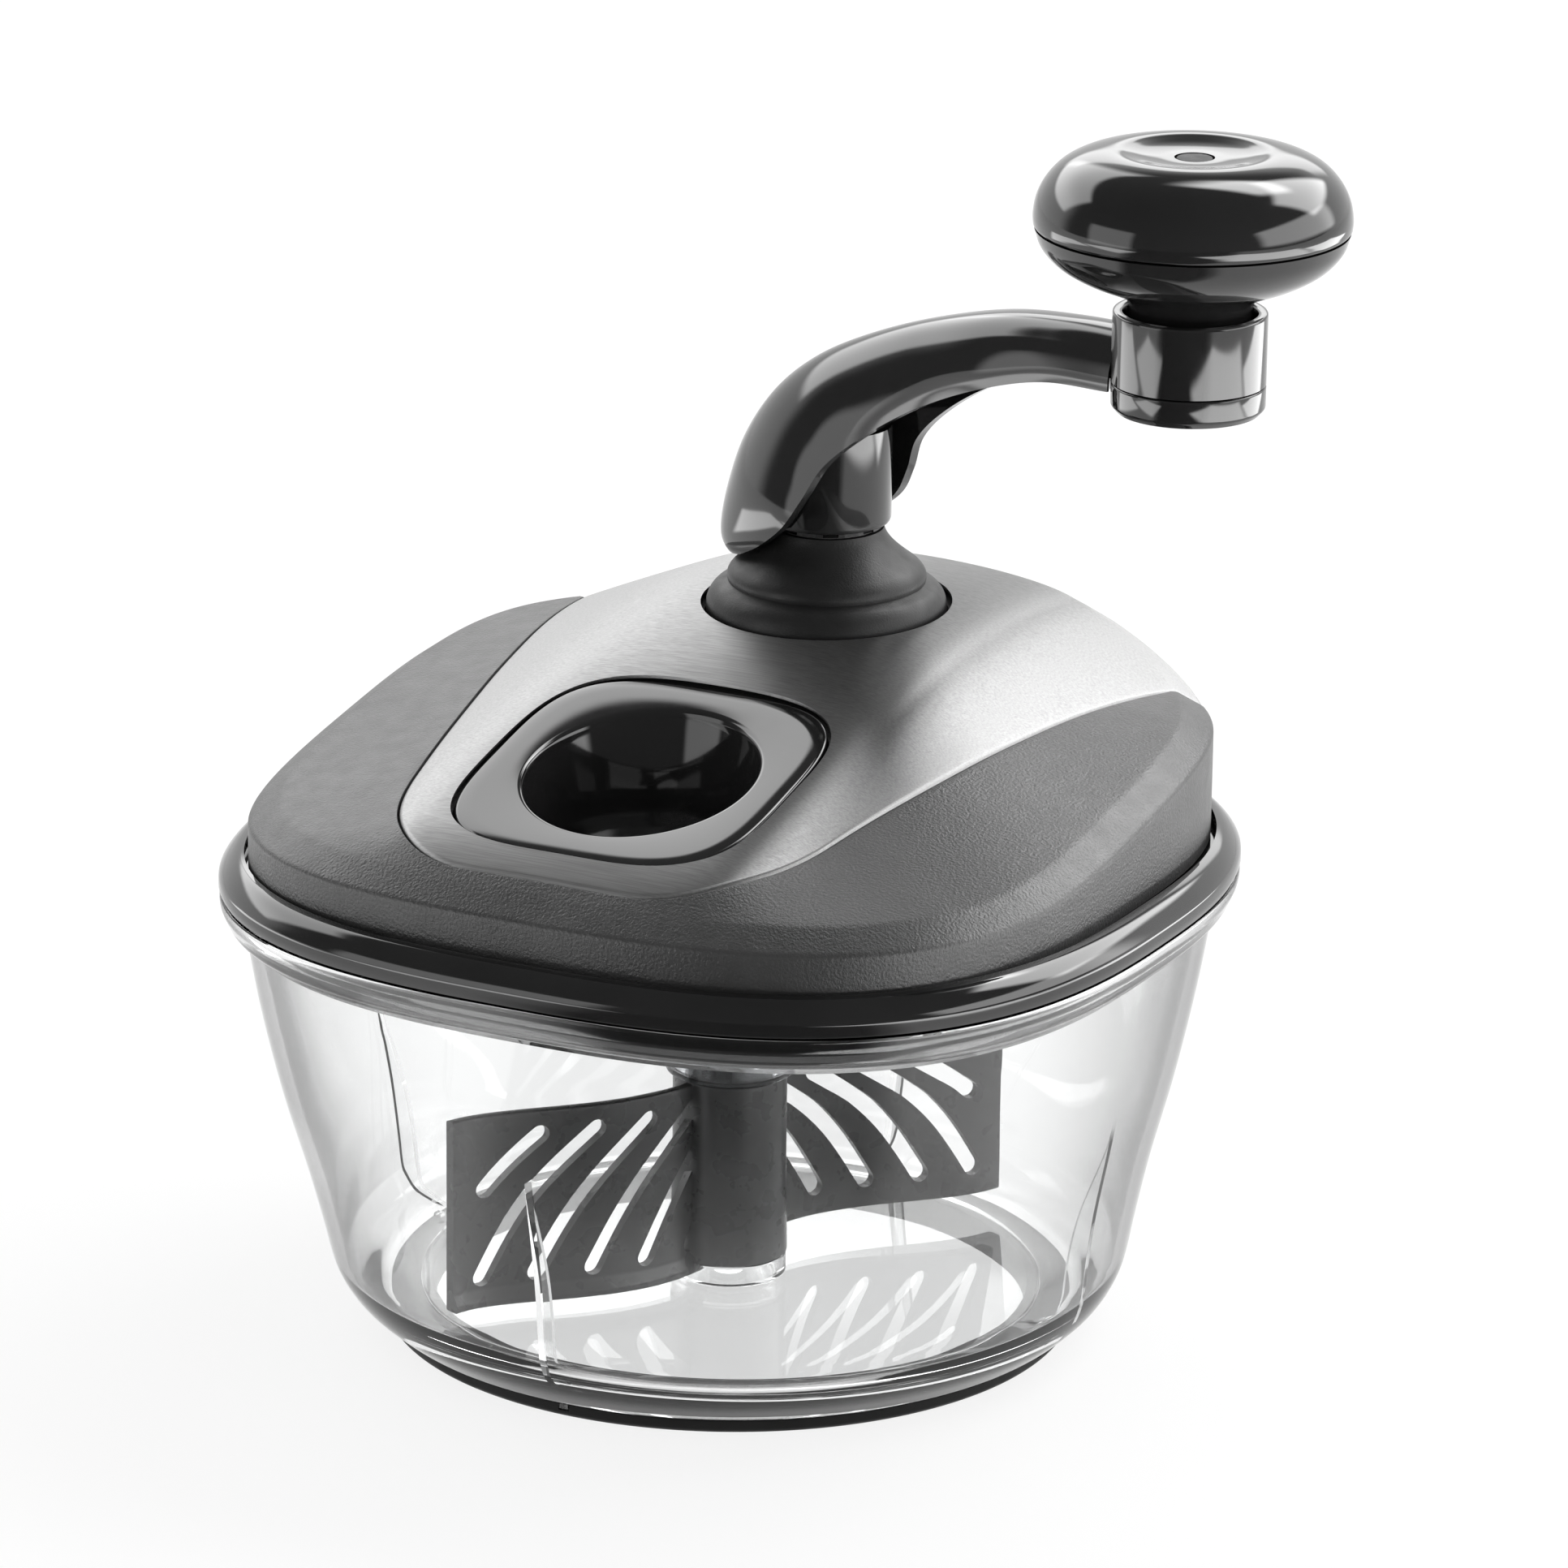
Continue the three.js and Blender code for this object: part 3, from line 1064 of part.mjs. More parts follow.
// Spur gears: a tooth's flank runs from the root circle, through the pitch circle, to the tip
function gearOutline(teeth) {
  const pitch = (GEAR_MODULE * teeth) / 2;
  const base = pitch * Math.cos(radians(PRESSURE_ANGLE));
  const tip = pitch + GEAR_MODULE * ADDENDUM_FACTOR;
  const root = pitch - GEAR_MODULE * DEDENDUM_FACTOR;
  const involute = (radius) => {
    const turn = Math.acos(Math.min(base / radius, 1));
    return Math.tan(turn) - turn;
  };
  const pitchHalf = Math.PI / (2 * teeth) - BACKLASH / (2 * pitch);
  const halfAngle = (radius) => pitchHalf + involute(pitch) - involute(Math.max(radius, base));
  const flank = [root, Math.max(base, pitch), tip];
  const points = [];
  for (let k = 0; k < teeth; k += 1) {
    const centre = (2 * Math.PI * k) / teeth;
    const rise = flank.map((radius) => [radius, centre - halfAngle(radius)]);
    const fall = flank.map((radius) => [radius, centre + halfAngle(radius)]).reverse();
    [...rise, ...fall].forEach(([radius, angle]) => {
      points.push([radius * Math.cos(angle), radius * Math.sin(angle)]);
    });
  }
  return points;
}

// A round section with one flat, as the shaft has where the gear and the arm grip it
function flatted(radius, flat, bottom, top) {
  const cut = box(2 * radius, 2 * radius, bottom - OVERRUN, top + OVERRUN).translate([flat + radius, 0, 0]);
  return cylinder(radius, bottom, top).subtract(cut);
}

const gearTop = GEAR_BOTTOM + GEAR_WIDTH;

function makeCrankGear() {
  const pitch = (GEAR_MODULE * GEAR_TEETH) / 2;
  const webOuter = pitch - GEAR_MODULE * DEDENDUM_FACTOR - GEAR_RIM_WIDTH;
  const webInner = SHAFT_RADIUS + GEAR_HUB_WALL;
  const recess = (bottom, top) => revolveRing(
    [[webInner, bottom], [webOuter, bottom], [webOuter, top], [webInner, top]],
  );
  const gear = prism(gearOutline(GEAR_TEETH), GEAR_BOTTOM, gearTop)
    .subtract(recess(GEAR_BOTTOM - OVERRUN, GEAR_BOTTOM + GEAR_WEB_INSET))
    .subtract(recess(gearTop - GEAR_WEB_INSET, gearTop + OVERRUN))
    .subtract(flatted(
      SHAFT_RADIUS + SEAT_GAP,
      SHAFT_FLAT + SEAT_GAP,
      GEAR_BOTTOM - OVERRUN,
      gearTop + OVERRUN,
    ));
  return piece('crank_gear', gear, gearWhite());
}

function makeCrankShaft() {
  const bottom = lidFloorTop + SEAT_GAP;
  const collarBottom = gearTop + SEAT_GAP;
  const round = revolve([
    [0, bottom],
    [SHAFT_RADIUS, bottom],
    [SHAFT_RADIUS, collarBottom],
    [SHAFT_RADIUS + SHAFT_COLLAR, collarBottom],
    [SHAFT_RADIUS + SHAFT_COLLAR, collarBottom + SHAFT_COLLAR_HEIGHT],
    [SHAFT_RADIUS, collarBottom + SHAFT_COLLAR_HEIGHT],
    [SHAFT_RADIUS, SHAFT_TOP],
    [0, SHAFT_TOP],
  ]);
  const flat = (low, high) => box(2 * SHAFT_RADIUS, 2 * SHAFT_RADIUS, low, high)
    .translate([SHAFT_FLAT + SHAFT_RADIUS, 0, 0]);
  const shaft = round
    .subtract(flat(GEAR_BOTTOM - SEAT_GAP, gearTop + SEAT_GAP).rotate([0, 0, -FULL_TURN / 4 - CRANK_ANGLE]))
    .subtract(flat(TOWER_TOP, SHAFT_TOP + OVERRUN));
  return piece('crank_shaft', shaft, plainSteel());
}

// Castellated ring between the tower and the crank's boss
const couplingBottom = TOWER_TOP + SEAT_GAP;
const couplingTop = couplingBottom + COUPLING_HEIGHT;

function makeCoupling() {
  let ring = cylinder(COUPLING_RADIUS, couplingBottom, couplingTop).subtract(flatted(
    SHAFT_RADIUS + SEAT_GAP,
    SHAFT_FLAT + SEAT_GAP,
    couplingBottom - OVERRUN,
    couplingTop + OVERRUN,
  ));
  for (let k = 0; k < COUPLING_NOTCHES; k += 1) {
    const notch = box(COUPLING_RADIUS, NOTCH_WIDTH, couplingBottom - OVERRUN, couplingBottom + NOTCH_HEIGHT)
      .translate([COUPLING_RADIUS + BUSH_FLANGE, 0, 0])
      .rotate([0, 0, (FULL_TURN * k) / COUPLING_NOTCHES]);
    ring = ring.subtract(notch);
  }
  return piece('crank_coupling', ring, mattBlack());
}

// Crank arm, drawn along +X from the shaft's axis
const armOut = (share) => share * CRANK_REACH;
const armUp = (share) => mix(HOOD_TIP, ARM_CREST, share);

// One section of the arm: an arch from the near open edge, over the crest, to the far edge
function armSection([crestOut, crestUp, edgeOut, edgeUp, width], wall) {
  const crest = new THREE.Vector3(armOut(crestOut), 0, armUp(crestUp));
  const edge = new THREE.Vector3(armOut(edgeOut), 0, armUp(edgeUp));
  const rise = crest.clone().sub(edge);
  const unit = rise.clone().normalize();
  const half = width * HOOD_HALF - wall;
  if (wall > 0) {
    edge.addScaledVector(unit, -OVERRUN);
    rise.addScaledVector(unit, OVERRUN - wall);
  }
  return Array.from({ length: ARM_SECTION_STEPS + 1 }, (_, i) => {
    const turn = (Math.PI * i) / ARM_SECTION_STEPS;
    const side = Math.cos(turn);
    const across = -half * Math.sign(side) * Math.abs(side) ** (2 / ARM_POWER);
    const climb = Math.abs(Math.sin(turn)) ** (2 / ARM_POWER);
    return edge.clone().addScaledVector(rise, climb).setY(across);
  });
}

function makeArmLoft(stations, wall, tip) {
  const rings = stations.map((station) => armSection(station, wall));
  const centre = (ring) => [ring.reduce((sum, point) => sum.add(point), new THREE.Vector3())
    .divideScalar(ring.length)];
  return toSolid(skin([centre(rings[0]), ...rings, tip || centre(rings[rings.length - 1])]));
}

function makeArm() {
  const tip = [new THREE.Vector3(armOut(TIP_OUT_SHARE), 0, HOOD_TIP)];
  const outer = makeArmLoft(ARM_STATION_SHARES, 0, tip);
  const inner = makeArmLoft(ARM_STATION_SHARES.slice(1, -1), ARM_WALL);
  const lengthwise = box(CRANK_REACH, WEB_THICKNESS, BOSS_BOTTOM + BOSS_RADIUS, ARM_CREST)
    .translate([CRANK_REACH / 2 + armOut(TIP_OUT_SHARE), 0, 0]);
  const crosswise = box(WEB_THICKNESS, 2 * HOOD_HALF, BOSS_BOTTOM + BOSS_RADIUS, ARM_CREST);
  const webs = lengthwise.add(crosswise).intersect(outer);
  const boss = cylinder(BOSS_RADIUS, BOSS_BOTTOM, BOSS_TOP)
    .add(cylinder(BOSS_RADIUS, BOSS_TOP - OVERRUN, ARM_CREST).intersect(outer));
  const column = revolve([
    [0, COLUMN_BOTTOM],
    [COLUMN_RADIUS, COLUMN_BOTTOM],
    [COLUMN_RADIUS, COLUMN_TOP - COLUMN_EDGE],
    [COLUMN_RADIUS - COLUMN_EDGE, COLUMN_TOP],
    [COLUMN_RADIUS - 2 * COLUMN_EDGE, COLUMN_TOP],
    [KNOB_NECK_RADIUS + 2 * SEAT_GAP, COLUMN_TOP - COLUMN_DISH_DEPTH],
    [0, COLUMN_TOP - COLUMN_DISH_DEPTH],
  ]).translate([CRANK_REACH, 0, 0]);
  const cavity = cylinder(
    COLUMN_RADIUS - COLUMN_WALL,
    COLUMN_BOTTOM - OVERRUN,
    columnFloorBottom,
  ).translate([CRANK_REACH, 0, 0]);
  const bore = cylinder(KNOB_STEM_RADIUS + RUN_GAP, COLUMN_BOTTOM, COLUMN_TOP)
    .translate([CRANK_REACH, 0, 0]);
  const socket = flatted(
    SHAFT_RADIUS + SEAT_GAP,
    SHAFT_FLAT + SEAT_GAP,
    BOSS_BOTTOM - OVERRUN,
    SHAFT_TOP + SEAT_GAP,
  );
  const ringSeat = cylinder(COUPLING_RADIUS + SEAT_GAP, BOSS_BOTTOM - OVERRUN, couplingTop + SEAT_GAP);
  const bellClearance = revolve([[0, TOWER_SEAT], ...bellProfile(HOOD_CLEARANCE), [0, TOWER_TOP]]);
  const capClearance = cylinder(COLUMN_RADIUS + SEAT_GAP, CAP_BOTTOM - OVERRUN, COLUMN_BOTTOM)
    .translate([CRANK_REACH, 0, 0]);
  const dish = cylinder(COLUMN_RADIUS, COLUMN_TOP - COLUMN_DISH_DEPTH, COLUMN_TOP)
    .translate([CRANK_REACH, 0, 0]);
  const arm = outer.subtract(inner)
    .subtract(bellClearance)
    .subtract(capClearance)
    .add(webs)
    .add(boss)
    .subtract(dish)
    .add(column)
    .subtract(cavity)
    .subtract(bore)
    .subtract(socket)
    .subtract(ringSeat);
  return piece('crank_arm', arm, glossBlack());
}
const columnFloorBottom = COLUMN_TOP - COLUMN_DISH_DEPTH - COLUMN_FLOOR;

function makeColumnCap() {
  const top = COLUMN_BOTTOM - SEAT_GAP;
  const spigot = COLUMN_RADIUS - COLUMN_WALL - SEAT_GAP;
  const hollow = spigot - CAP_SPIGOT;
  return piece('column_cap', revolve([
    [0, CAP_BOTTOM],
    [COLUMN_RADIUS - CAP_EDGE, CAP_BOTTOM],
    [COLUMN_RADIUS, CAP_BOTTOM + CAP_EDGE],
    [COLUMN_RADIUS, top],
    [spigot, top],
    [spigot, top + CAP_SPIGOT],
    [hollow, top + CAP_SPIGOT],
    [hollow, CAP_BOTTOM + CAP_FLOOR],
    [0, CAP_BOTTOM + CAP_FLOOR],
  ]), glossBlack());
}

// Knob: two shells that meet at a seam, a stem through the column, and what holds it there
const stemBottom = columnFloorBottom - SEAT_GAP;
const neckBottom = COLUMN_TOP - COLUMN_DISH_DEPTH + SEAT_GAP;
const plugSeat = KNOB_TOP - DISH_DEPTH - PLUG_THICKNESS;
const knobScrewRadius = SCREW_RADIUS + SEAT_GAP;

function makeKnobLower() {
  const out = (share) => mix(KNOB_NECK_RADIUS, KNOB_RADIUS, share);
  const up = (share) => mix(COLUMN_TOP, KNOB_SEAM, share);
  const floor = KNOB_FLOOR_SHARES.map(([across, rise]) => [out(across), up(rise) + KNOB_WALL]);
  return piece('knob_lower', revolveRing([
    [knobScrewRadius, stemBottom],
    [KNOB_STEM_RADIUS, stemBottom],
    [KNOB_STEM_RADIUS, neckBottom],
    [KNOB_NECK_RADIUS, neckBottom],
    [KNOB_NECK_RADIUS - KNOB_LEDGE, COLUMN_TOP],
    ...KNOB_UNDERSIDE_SHARES.map(([across, rise]) => [out(across), up(rise)]),
    [KNOB_RADIUS - KNOB_LEDGE, KNOB_SEAM - SEAT_GAP],
    [KNOB_RADIUS - KNOB_WALL, KNOB_SEAM - SEAT_GAP],
    ...floor,
    [KNOB_STEM_RADIUS, floor[floor.length - 1][1]],
    [KNOB_STEM_RADIUS, KNOB_SEAM],
    [knobScrewRadius, KNOB_SEAM],
  ]), glossBlack());
}

function makeKnobUpper() {
  const at = ([across, rise]) => [mix(DISH_RADIUS, KNOB_RADIUS, across), mix(KNOB_SEAM, KNOB_TOP, rise)];
  const plugHole = PLUG_RADIUS + SEAT_GAP;
  return piece('knob_upper', revolve([
    [0, plugSeat - KNOB_WALL],
    [DISH_RADIUS, KNOB_TOP - KNOB_WALL],
    ...KNOB_CEILING_SHARES.map(at),
    [KNOB_RADIUS - KNOB_WALL, KNOB_SEAM],
    [KNOB_RADIUS, KNOB_SEAM],
    ...KNOB_CROWN_SHARES.map(at),
    [DISH_RADIUS, KNOB_TOP],
    ...DISH_SHARES.map(([across, down]) => [DISH_RADIUS * across, KNOB_TOP - DISH_DEPTH * down]),
    [plugHole, KNOB_TOP - DISH_DEPTH],
    [plugHole, plugSeat],
    [0, plugSeat],
  ]), glossBlack());
}

function makeKnobPlug() {
  const plug = cylinder(PLUG_RADIUS, plugSeat + SEAT_GAP, plugSeat + PLUG_THICKNESS, SMALL_STEPS);
  return piece('knob_plug', plug, mattBlack());
}

const washerTop = stemBottom - SEAT_GAP;

function makeKnobWasher() {
  return piece('knob_washer', revolveRing([
    [knobScrewRadius, washerTop - WASHER_THICKNESS],
    [KNOB_WASHER_RADIUS, washerTop - WASHER_THICKNESS],
    [KNOB_WASHER_RADIUS, washerTop],
    [knobScrewRadius, washerTop],
  ], ROUND_STEPS / 2), plainSteel());
}

// Spindle: pinion with its journals, and the socket that turns the paddle
const MESH_TURN = FULL_TURN / 4 + FULL_TURN / 2 / PINION_TEETH;
const spindleHexBottom = LID_FLOOR_BOTTOM - SPINDLE_HEX_LENGTH;
const socketTop = LID_FLOOR_BOTTOM - 2 * SEAT_GAP;
const socketPocketTop = spindleHexBottom - SOCKET_FLOOR;

function makePinion() {
  const journalTop = gearTop + 2 * SEAT_GAP + SPINDLE_TOP_LENGTH;
  const pinion = prism(gearOutline(PINION_TEETH), GEAR_BOTTOM, gearTop + SEAT_GAP)
    .rotate([0, 0, MESH_TURN])
    .add(cylinder(SPINDLE_RADIUS, LID_FLOOR_BOTTOM - SEAT_GAP, journalTop, ROUND_STEPS / 2))
    .add(prism(hexagon(SPINDLE_HEX), spindleHexBottom, LID_FLOOR_BOTTOM))
    .subtract(cylinder(
      SCREW_RADIUS + SEAT_GAP,
      spindleHexBottom - OVERRUN,
      spindleHexBottom + SOCKET_SCREW_LENGTH,
      SMALL_STEPS,
    ));
  return piece('pinion', pinion, gearWhite());
}

function makeDriveSocket() {
  const hexTop = SOCKET_BOTTOM + SOCKET_DEPTH;
  const spindleHole = hexagon(SPINDLE_HEX + 2 * SEAT_GAP);
  const socket = cylinder(SOCKET_RADIUS, SOCKET_BOTTOM, socketTop)
    .subtract(prism(hexagon(DRIVE_HEX + 2 * RUN_GAP), SOCKET_BOTTOM - OVERRUN, hexTop))
    .subtract(cylinder(SOCKET_POCKET_RADIUS, hexTop - OVERRUN, socketPocketTop, ROUND_STEPS / 2))
    .subtract(cylinder(SCREW_RADIUS + SEAT_GAP, socketPocketTop - OVERRUN, socketTop, SMALL_STEPS))
    .subtract(prism(spindleHole, spindleHexBottom - SEAT_GAP, socketTop + OVERRUN));
  return piece('drive_socket', socket, smokedPlastic());
}

// Assembly
const chopper = new THREE.Group();

chopper.add(makeBowl(), makeBaseRing(), makePaddle());

const lid = new THREE.Group();
lid.add(makeLidBase(), makeCover(), makePlate(), piece('filler_funnel', makeFunnel(), glossBlack()));
const lowerBushTop = crankBushTop + BUSH_FLANGE_THICKNESS;
const crankBushes = [
  ['crank_bush_lower', lidFloorTop + SEAT_GAP, lowerBushTop, true],
  [
    'crank_bush_middle',
    TOWER_NECK_BOTTOM - SEAT_GAP - BUSH_FLANGE_THICKNESS,
    TOWER_NECK_BOTTOM + TOWER_BUSH_LENGTH - SEAT_GAP,
    false,
  ],
  ['crank_bush_upper', TOWER_TOP - TOWER_BUSH_LENGTH + SEAT_GAP, TOWER_TOP, true],
];
crankBushes.forEach(([name, bottom, top, flangeAtTop]) => {
  lid.add(placeAt(makeBush(name, SHAFT_RADIUS, bottom, top, flangeAtTop), [0, GEAR_AXIS_Y, 0]));
});
lid.add(makeBush('spindle_bush_lower', SPINDLE_RADIUS, LID_FLOOR_BOTTOM, lowerBushTop, true));
lid.add(makeBush(
  'spindle_bush_upper',
  SPINDLE_RADIUS,
  spindleBushBottom - BUSH_FLANGE_THICKNESS,
  spindleBushTop,
  false,
));
lid.add(placeAt(makeTower(), [0, GEAR_AXIS_Y, 0]));
lidScrewPlaces.forEach(([x, y], k) => {
  lid.add(placeAt(makeScrew(`lid_screw_${k + 1}`, LID_SCREW_LENGTH), [x, y, LID_FLOOR_BOTTOM - SEAT_GAP]));
});
towerScrewPlaces.forEach(([x, y], k) => {
  lid.add(placeAt(makeScrew(`tower_screw_${k + 1}`, TOWER_SCREW_LENGTH), [x, y, towerScrewSeat]));
});
chopper.add(lid);

const crank = new THREE.Group();
crank.position.y = GEAR_AXIS_Y;
const crankGear = makeCrankGear();
crankGear.rotation.z = -Math.PI / 2;
const turned = new THREE.Group();
turned.rotation.z = radians(CRANK_ANGLE);
turned.add(makeCrankShaft(), makeCoupling(), makeArm(), placeAt(makeColumnCap(), [CRANK_REACH, 0, 0]));
crank.add(crankGear, turned);
chopper.add(crank);

const knob = new THREE.Group();
knob.position.x = CRANK_REACH;
const knobScrew = makeScrew('knob_screw', KNOB_SCREW_LENGTH);
knobScrew.position.z = washerTop - WASHER_THICKNESS - SEAT_GAP;
knob.add(makeKnobLower(), makeKnobUpper(), makeKnobPlug(), makeKnobWasher(), knobScrew);
turned.add(knob);

const spindle = new THREE.Group();
const socketScrew = makeScrew('socket_screw', SOCKET_SCREW_LENGTH);
socketScrew.position.z = socketPocketTop - SEAT_GAP;
spindle.add(makePinion(), makeDriveSocket(), socketScrew);
chopper.add(spindle);

export default chopper;
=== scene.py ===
import json
import math

import bmesh
import bpy
import numpy as np
from mathutils import Matrix, Vector


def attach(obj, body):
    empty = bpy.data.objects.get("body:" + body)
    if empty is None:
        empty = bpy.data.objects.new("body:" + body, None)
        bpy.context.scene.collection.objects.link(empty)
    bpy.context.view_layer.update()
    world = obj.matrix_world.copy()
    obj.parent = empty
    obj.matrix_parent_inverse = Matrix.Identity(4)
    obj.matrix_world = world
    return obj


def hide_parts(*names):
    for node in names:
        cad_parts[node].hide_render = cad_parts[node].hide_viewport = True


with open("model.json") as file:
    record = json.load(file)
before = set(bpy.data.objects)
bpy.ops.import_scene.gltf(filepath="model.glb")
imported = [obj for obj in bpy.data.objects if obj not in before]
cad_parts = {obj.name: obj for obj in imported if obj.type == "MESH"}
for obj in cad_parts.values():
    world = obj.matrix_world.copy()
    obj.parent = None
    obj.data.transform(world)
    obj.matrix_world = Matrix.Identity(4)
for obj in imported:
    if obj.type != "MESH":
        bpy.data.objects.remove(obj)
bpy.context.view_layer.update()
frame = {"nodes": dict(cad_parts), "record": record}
MM = 0.001
# Points round each ring of the bowl and of the lid's base
AROUND = 256
QUARTER_TURNS = [k * math.pi / 2 for k in range(4)]

# Bowl and base ring, in millimetres as all lengths below
RIM_POWER = 2.64
BOWL_FOOT, FLOOR_UNDER, FLOOR_TOP = 3.0, 6.3, 8.2
FOOT_INNER, FOOT_RADIUS = 59.3, 66.4
NECK_HALF, LIP_HALF = 85.7, 90.15
BOWL_NECK, BOWL_TOP = 80.0, 88.0
BOWL_WALL = 2.4
FLOOR_FILLET_TOP = 14.0
PIVOT_INNER, PIVOT_OUTER = 8.6, 11.0
PIVOT_ROOT, PIVOT_TOP = 8.0, 12.0
PIN_RADIUS, PIN_TOP = 3.6, 40.0
RIB_THICKNESS, RIB_DEPTH = 1.5, 3.6
RIB_BOTTOM, RIB_TAPER, RIB_TOP = 10.2, 13.0, 52.0
LUG_WIDTH, NOTCH_WIDTH = 1.8, 2.2
RING_INNER, RING_LEDGE, RING_OUTER = 57.0, 59.0, 66.0
RING_TOP, RING_LIP_TOP = 2.7, 5.7

# Paddle, with the near blade's angle in degrees
HUB_FOOT, HUB_RADIUS = 11.2, 10.9
HUB_BOTTOM, HUB_TOP = 12.3, 48.5
HEX_ACROSS, HEX_BOTTOM, HEX_TOP = 14, 46, 62
BLADE_REACH = 60.5
BLADE_BOTTOM, BLADE_TOP = 10.2, 48.2
BLADE_HALF, BLADE_LIP = 1.0, 1.2
BLADE_STEP = 3
BLADE_ANGLE = -123
SLOT_COUNT, SLOT_FIRST, SLOT_PITCH = 7, 10.6, 10.9
SLOT_LEAN, SLOT_BULGE, SLOT_HALF = 22.5, 1.6, 1.75
SLOT_BOTTOM, SLOT_RISE = 16.0, 27.5
SLOT_INNER_END, SLOT_OUTER_END = 6.6, 54.6

# Lid
GEAR_Y = 37.5
FILLER_Y = -37.0
GAP = 0.3
CROWN_LEVEL, CROWN_SLOPE = 128.0, 0.25
CROWN_TURN, CROWN_SPAN = -6.0, 102.0
ROLL_START, ROLL_SPAN, ROLL_DROP = -62.0, 12.5, 1.8
SIDE_START, SIDE_SLOPE, SIDE_SOFTNESS = 35.0, 0.43, 25.0
PLATE_FRONT, PLATE_CORNER, PLATE_END = -74.5, -46.0, 85.0
PLATE_HALF, PLATE_FLARE = 43.0, 0.2
PLATE_THICKNESS, PLATE_SEAT = 0.6, 0.9
COVER_HALF, COVER_POWER = 83.0, 2.95
COVER_BOTTOM, COVER_THICKNESS = 93.0, 3.6
EDGE_FRONT, EDGE_RISE = 105.6, 11.8
INSET, CHAMFER, ROUNDING = 5.4, 3.7, 0.7
COLLAR_LEVEL = CROWN_LEVEL + CROWN_SLOPE * FILLER_Y
COLLAR_POWER = 3.6
MOUTH_RADIUS, THROAT_RADIUS, THROAT_OUTER, FUNNEL_OUTER = 21.8, 19.0, 20.8, 23.6
MOUTH_DOWN, COLLAR_FOOT, THROAT_TAPER = 2.4, 3.3, 2.8
THROAT_LEVEL, THROAT_BOTTOM = 100.0, 89.0
SKIRT_INNER, SKIRT_OUTER, SKIRT_BOTTOM = 80.6, 82.9, 82.6
FLANGE_UNDER, LID_FLOOR = 88.3, 90.0
TOWER_BORE, TOWER_FOOT, TOWER_TOP = 7.0, 128.6, 146.2

# Crank, knob and drive socket
CRANK_ANGLE = math.radians(-14.6)
REACH = 87.3
ARM_FOOT, ARM_RISE = 137.0, 61.6
ARM_HALF_WIDTH, ARM_WALL = 19.0, 2.2
BOSS_RADIUS, BOSS_BOTTOM, BOSS_TOP = 12.2, 147.5, 166.5
COLUMN_RADIUS, COLUMN_BORE = 14.2, 6.35
CAP_BOTTOM, CAP_TOP = 185.5, 190.75
COLUMN_BOTTOM, DISH_FLOOR, COLUMN_TOP = 191.0, 201.2, 204.3
KNOB_BORE, STEM_RADIUS, KNOB_RADIUS, KNOB_TOP = 1.8, 6.0, 29.1, 233.9
PLUG_BOTTOM, PLUG_TOP = 232.1, 232.75
SLEEVE_BOTTOM, SLEEVE_TOP, SOCKET_TOP = 49.0, 89.4, 66.0


# Mesh helpers

def smoothstep(value, low, high):
    """0 below low, 1 above high and a soft rise between."""
    t = np.clip((np.asarray(value, float) - low) / (high - low), 0, 1)
    return t * t * (3 - 2 * t)


def curve_through(points, count):
    """Centripetal Catmull-Rom through points of any width, resampled to count points."""
    p = np.asarray(points, float)
    p = np.vstack([2 * p[0] - p[1], p, 2 * p[-1] - p[-2]])
    steps = np.linalg.norm(np.diff(p, axis=0), axis=1) ** 0.5
    knots = np.concatenate([[0], np.cumsum(steps)])
    out = []
    for t in np.linspace(knots[1], knots[-2], count):
        i = min(max(int(np.searchsorted(knots, t, side="right")) - 1, 1), len(p) - 3)
        k = knots[i - 1:i + 3]
        q = p[i - 1:i + 3]
        a = [q[j] * (k[j + 1] - t) / (k[j + 1] - k[j]) + q[j + 1] * (t - k[j]) / (k[j + 1] - k[j])
             for j in range(3)]
        b = [a[j] * (k[j + 2] - t) / (k[j + 2] - k[j]) + a[j + 1] * (t - k[j]) / (k[j + 2] - k[j])
             for j in range(2)]
        out.append(b[0] * (k[2] - t) / (k[2] - k[1]) + b[1] * (t - k[1]) / (k[2] - k[1]))
    return np.array(out)


def bend(start, corner, end, t):
    """A point on the quadratic curve from start to end that heads for the corner."""
    return (1 - t) ** 2 * start + 2 * t * (1 - t) * corner + t * t * end


def fillet(points, radius=0.5, closed=False):
    """Rounds the corners of a polyline whose turns are over 18 degrees."""
    straight, most = -0.95, 0.45
    p = [np.asarray(q, float) for q in points]
    n = len(p)
    out = []
    for i, q in enumerate(p):
        if not closed and i in (0, n - 1):
            out.append(q)
            continue
        a, b = p[i - 1] - q, p[(i + 1) % n] - q
        la, lb = np.linalg.norm(a), np.linalg.norm(b)
        if la < 1e-6 or lb < 1e-6 or np.dot(a, b) / (la * lb) < straight:
            out.append(q)
            continue
        start = q + a / la * min(radius, most * la)
        end = q + b / lb * min(radius, most * lb)
        out += [bend(start, q, end, t) for t in np.linspace(0, 1, 5)]
    return np.array(out)


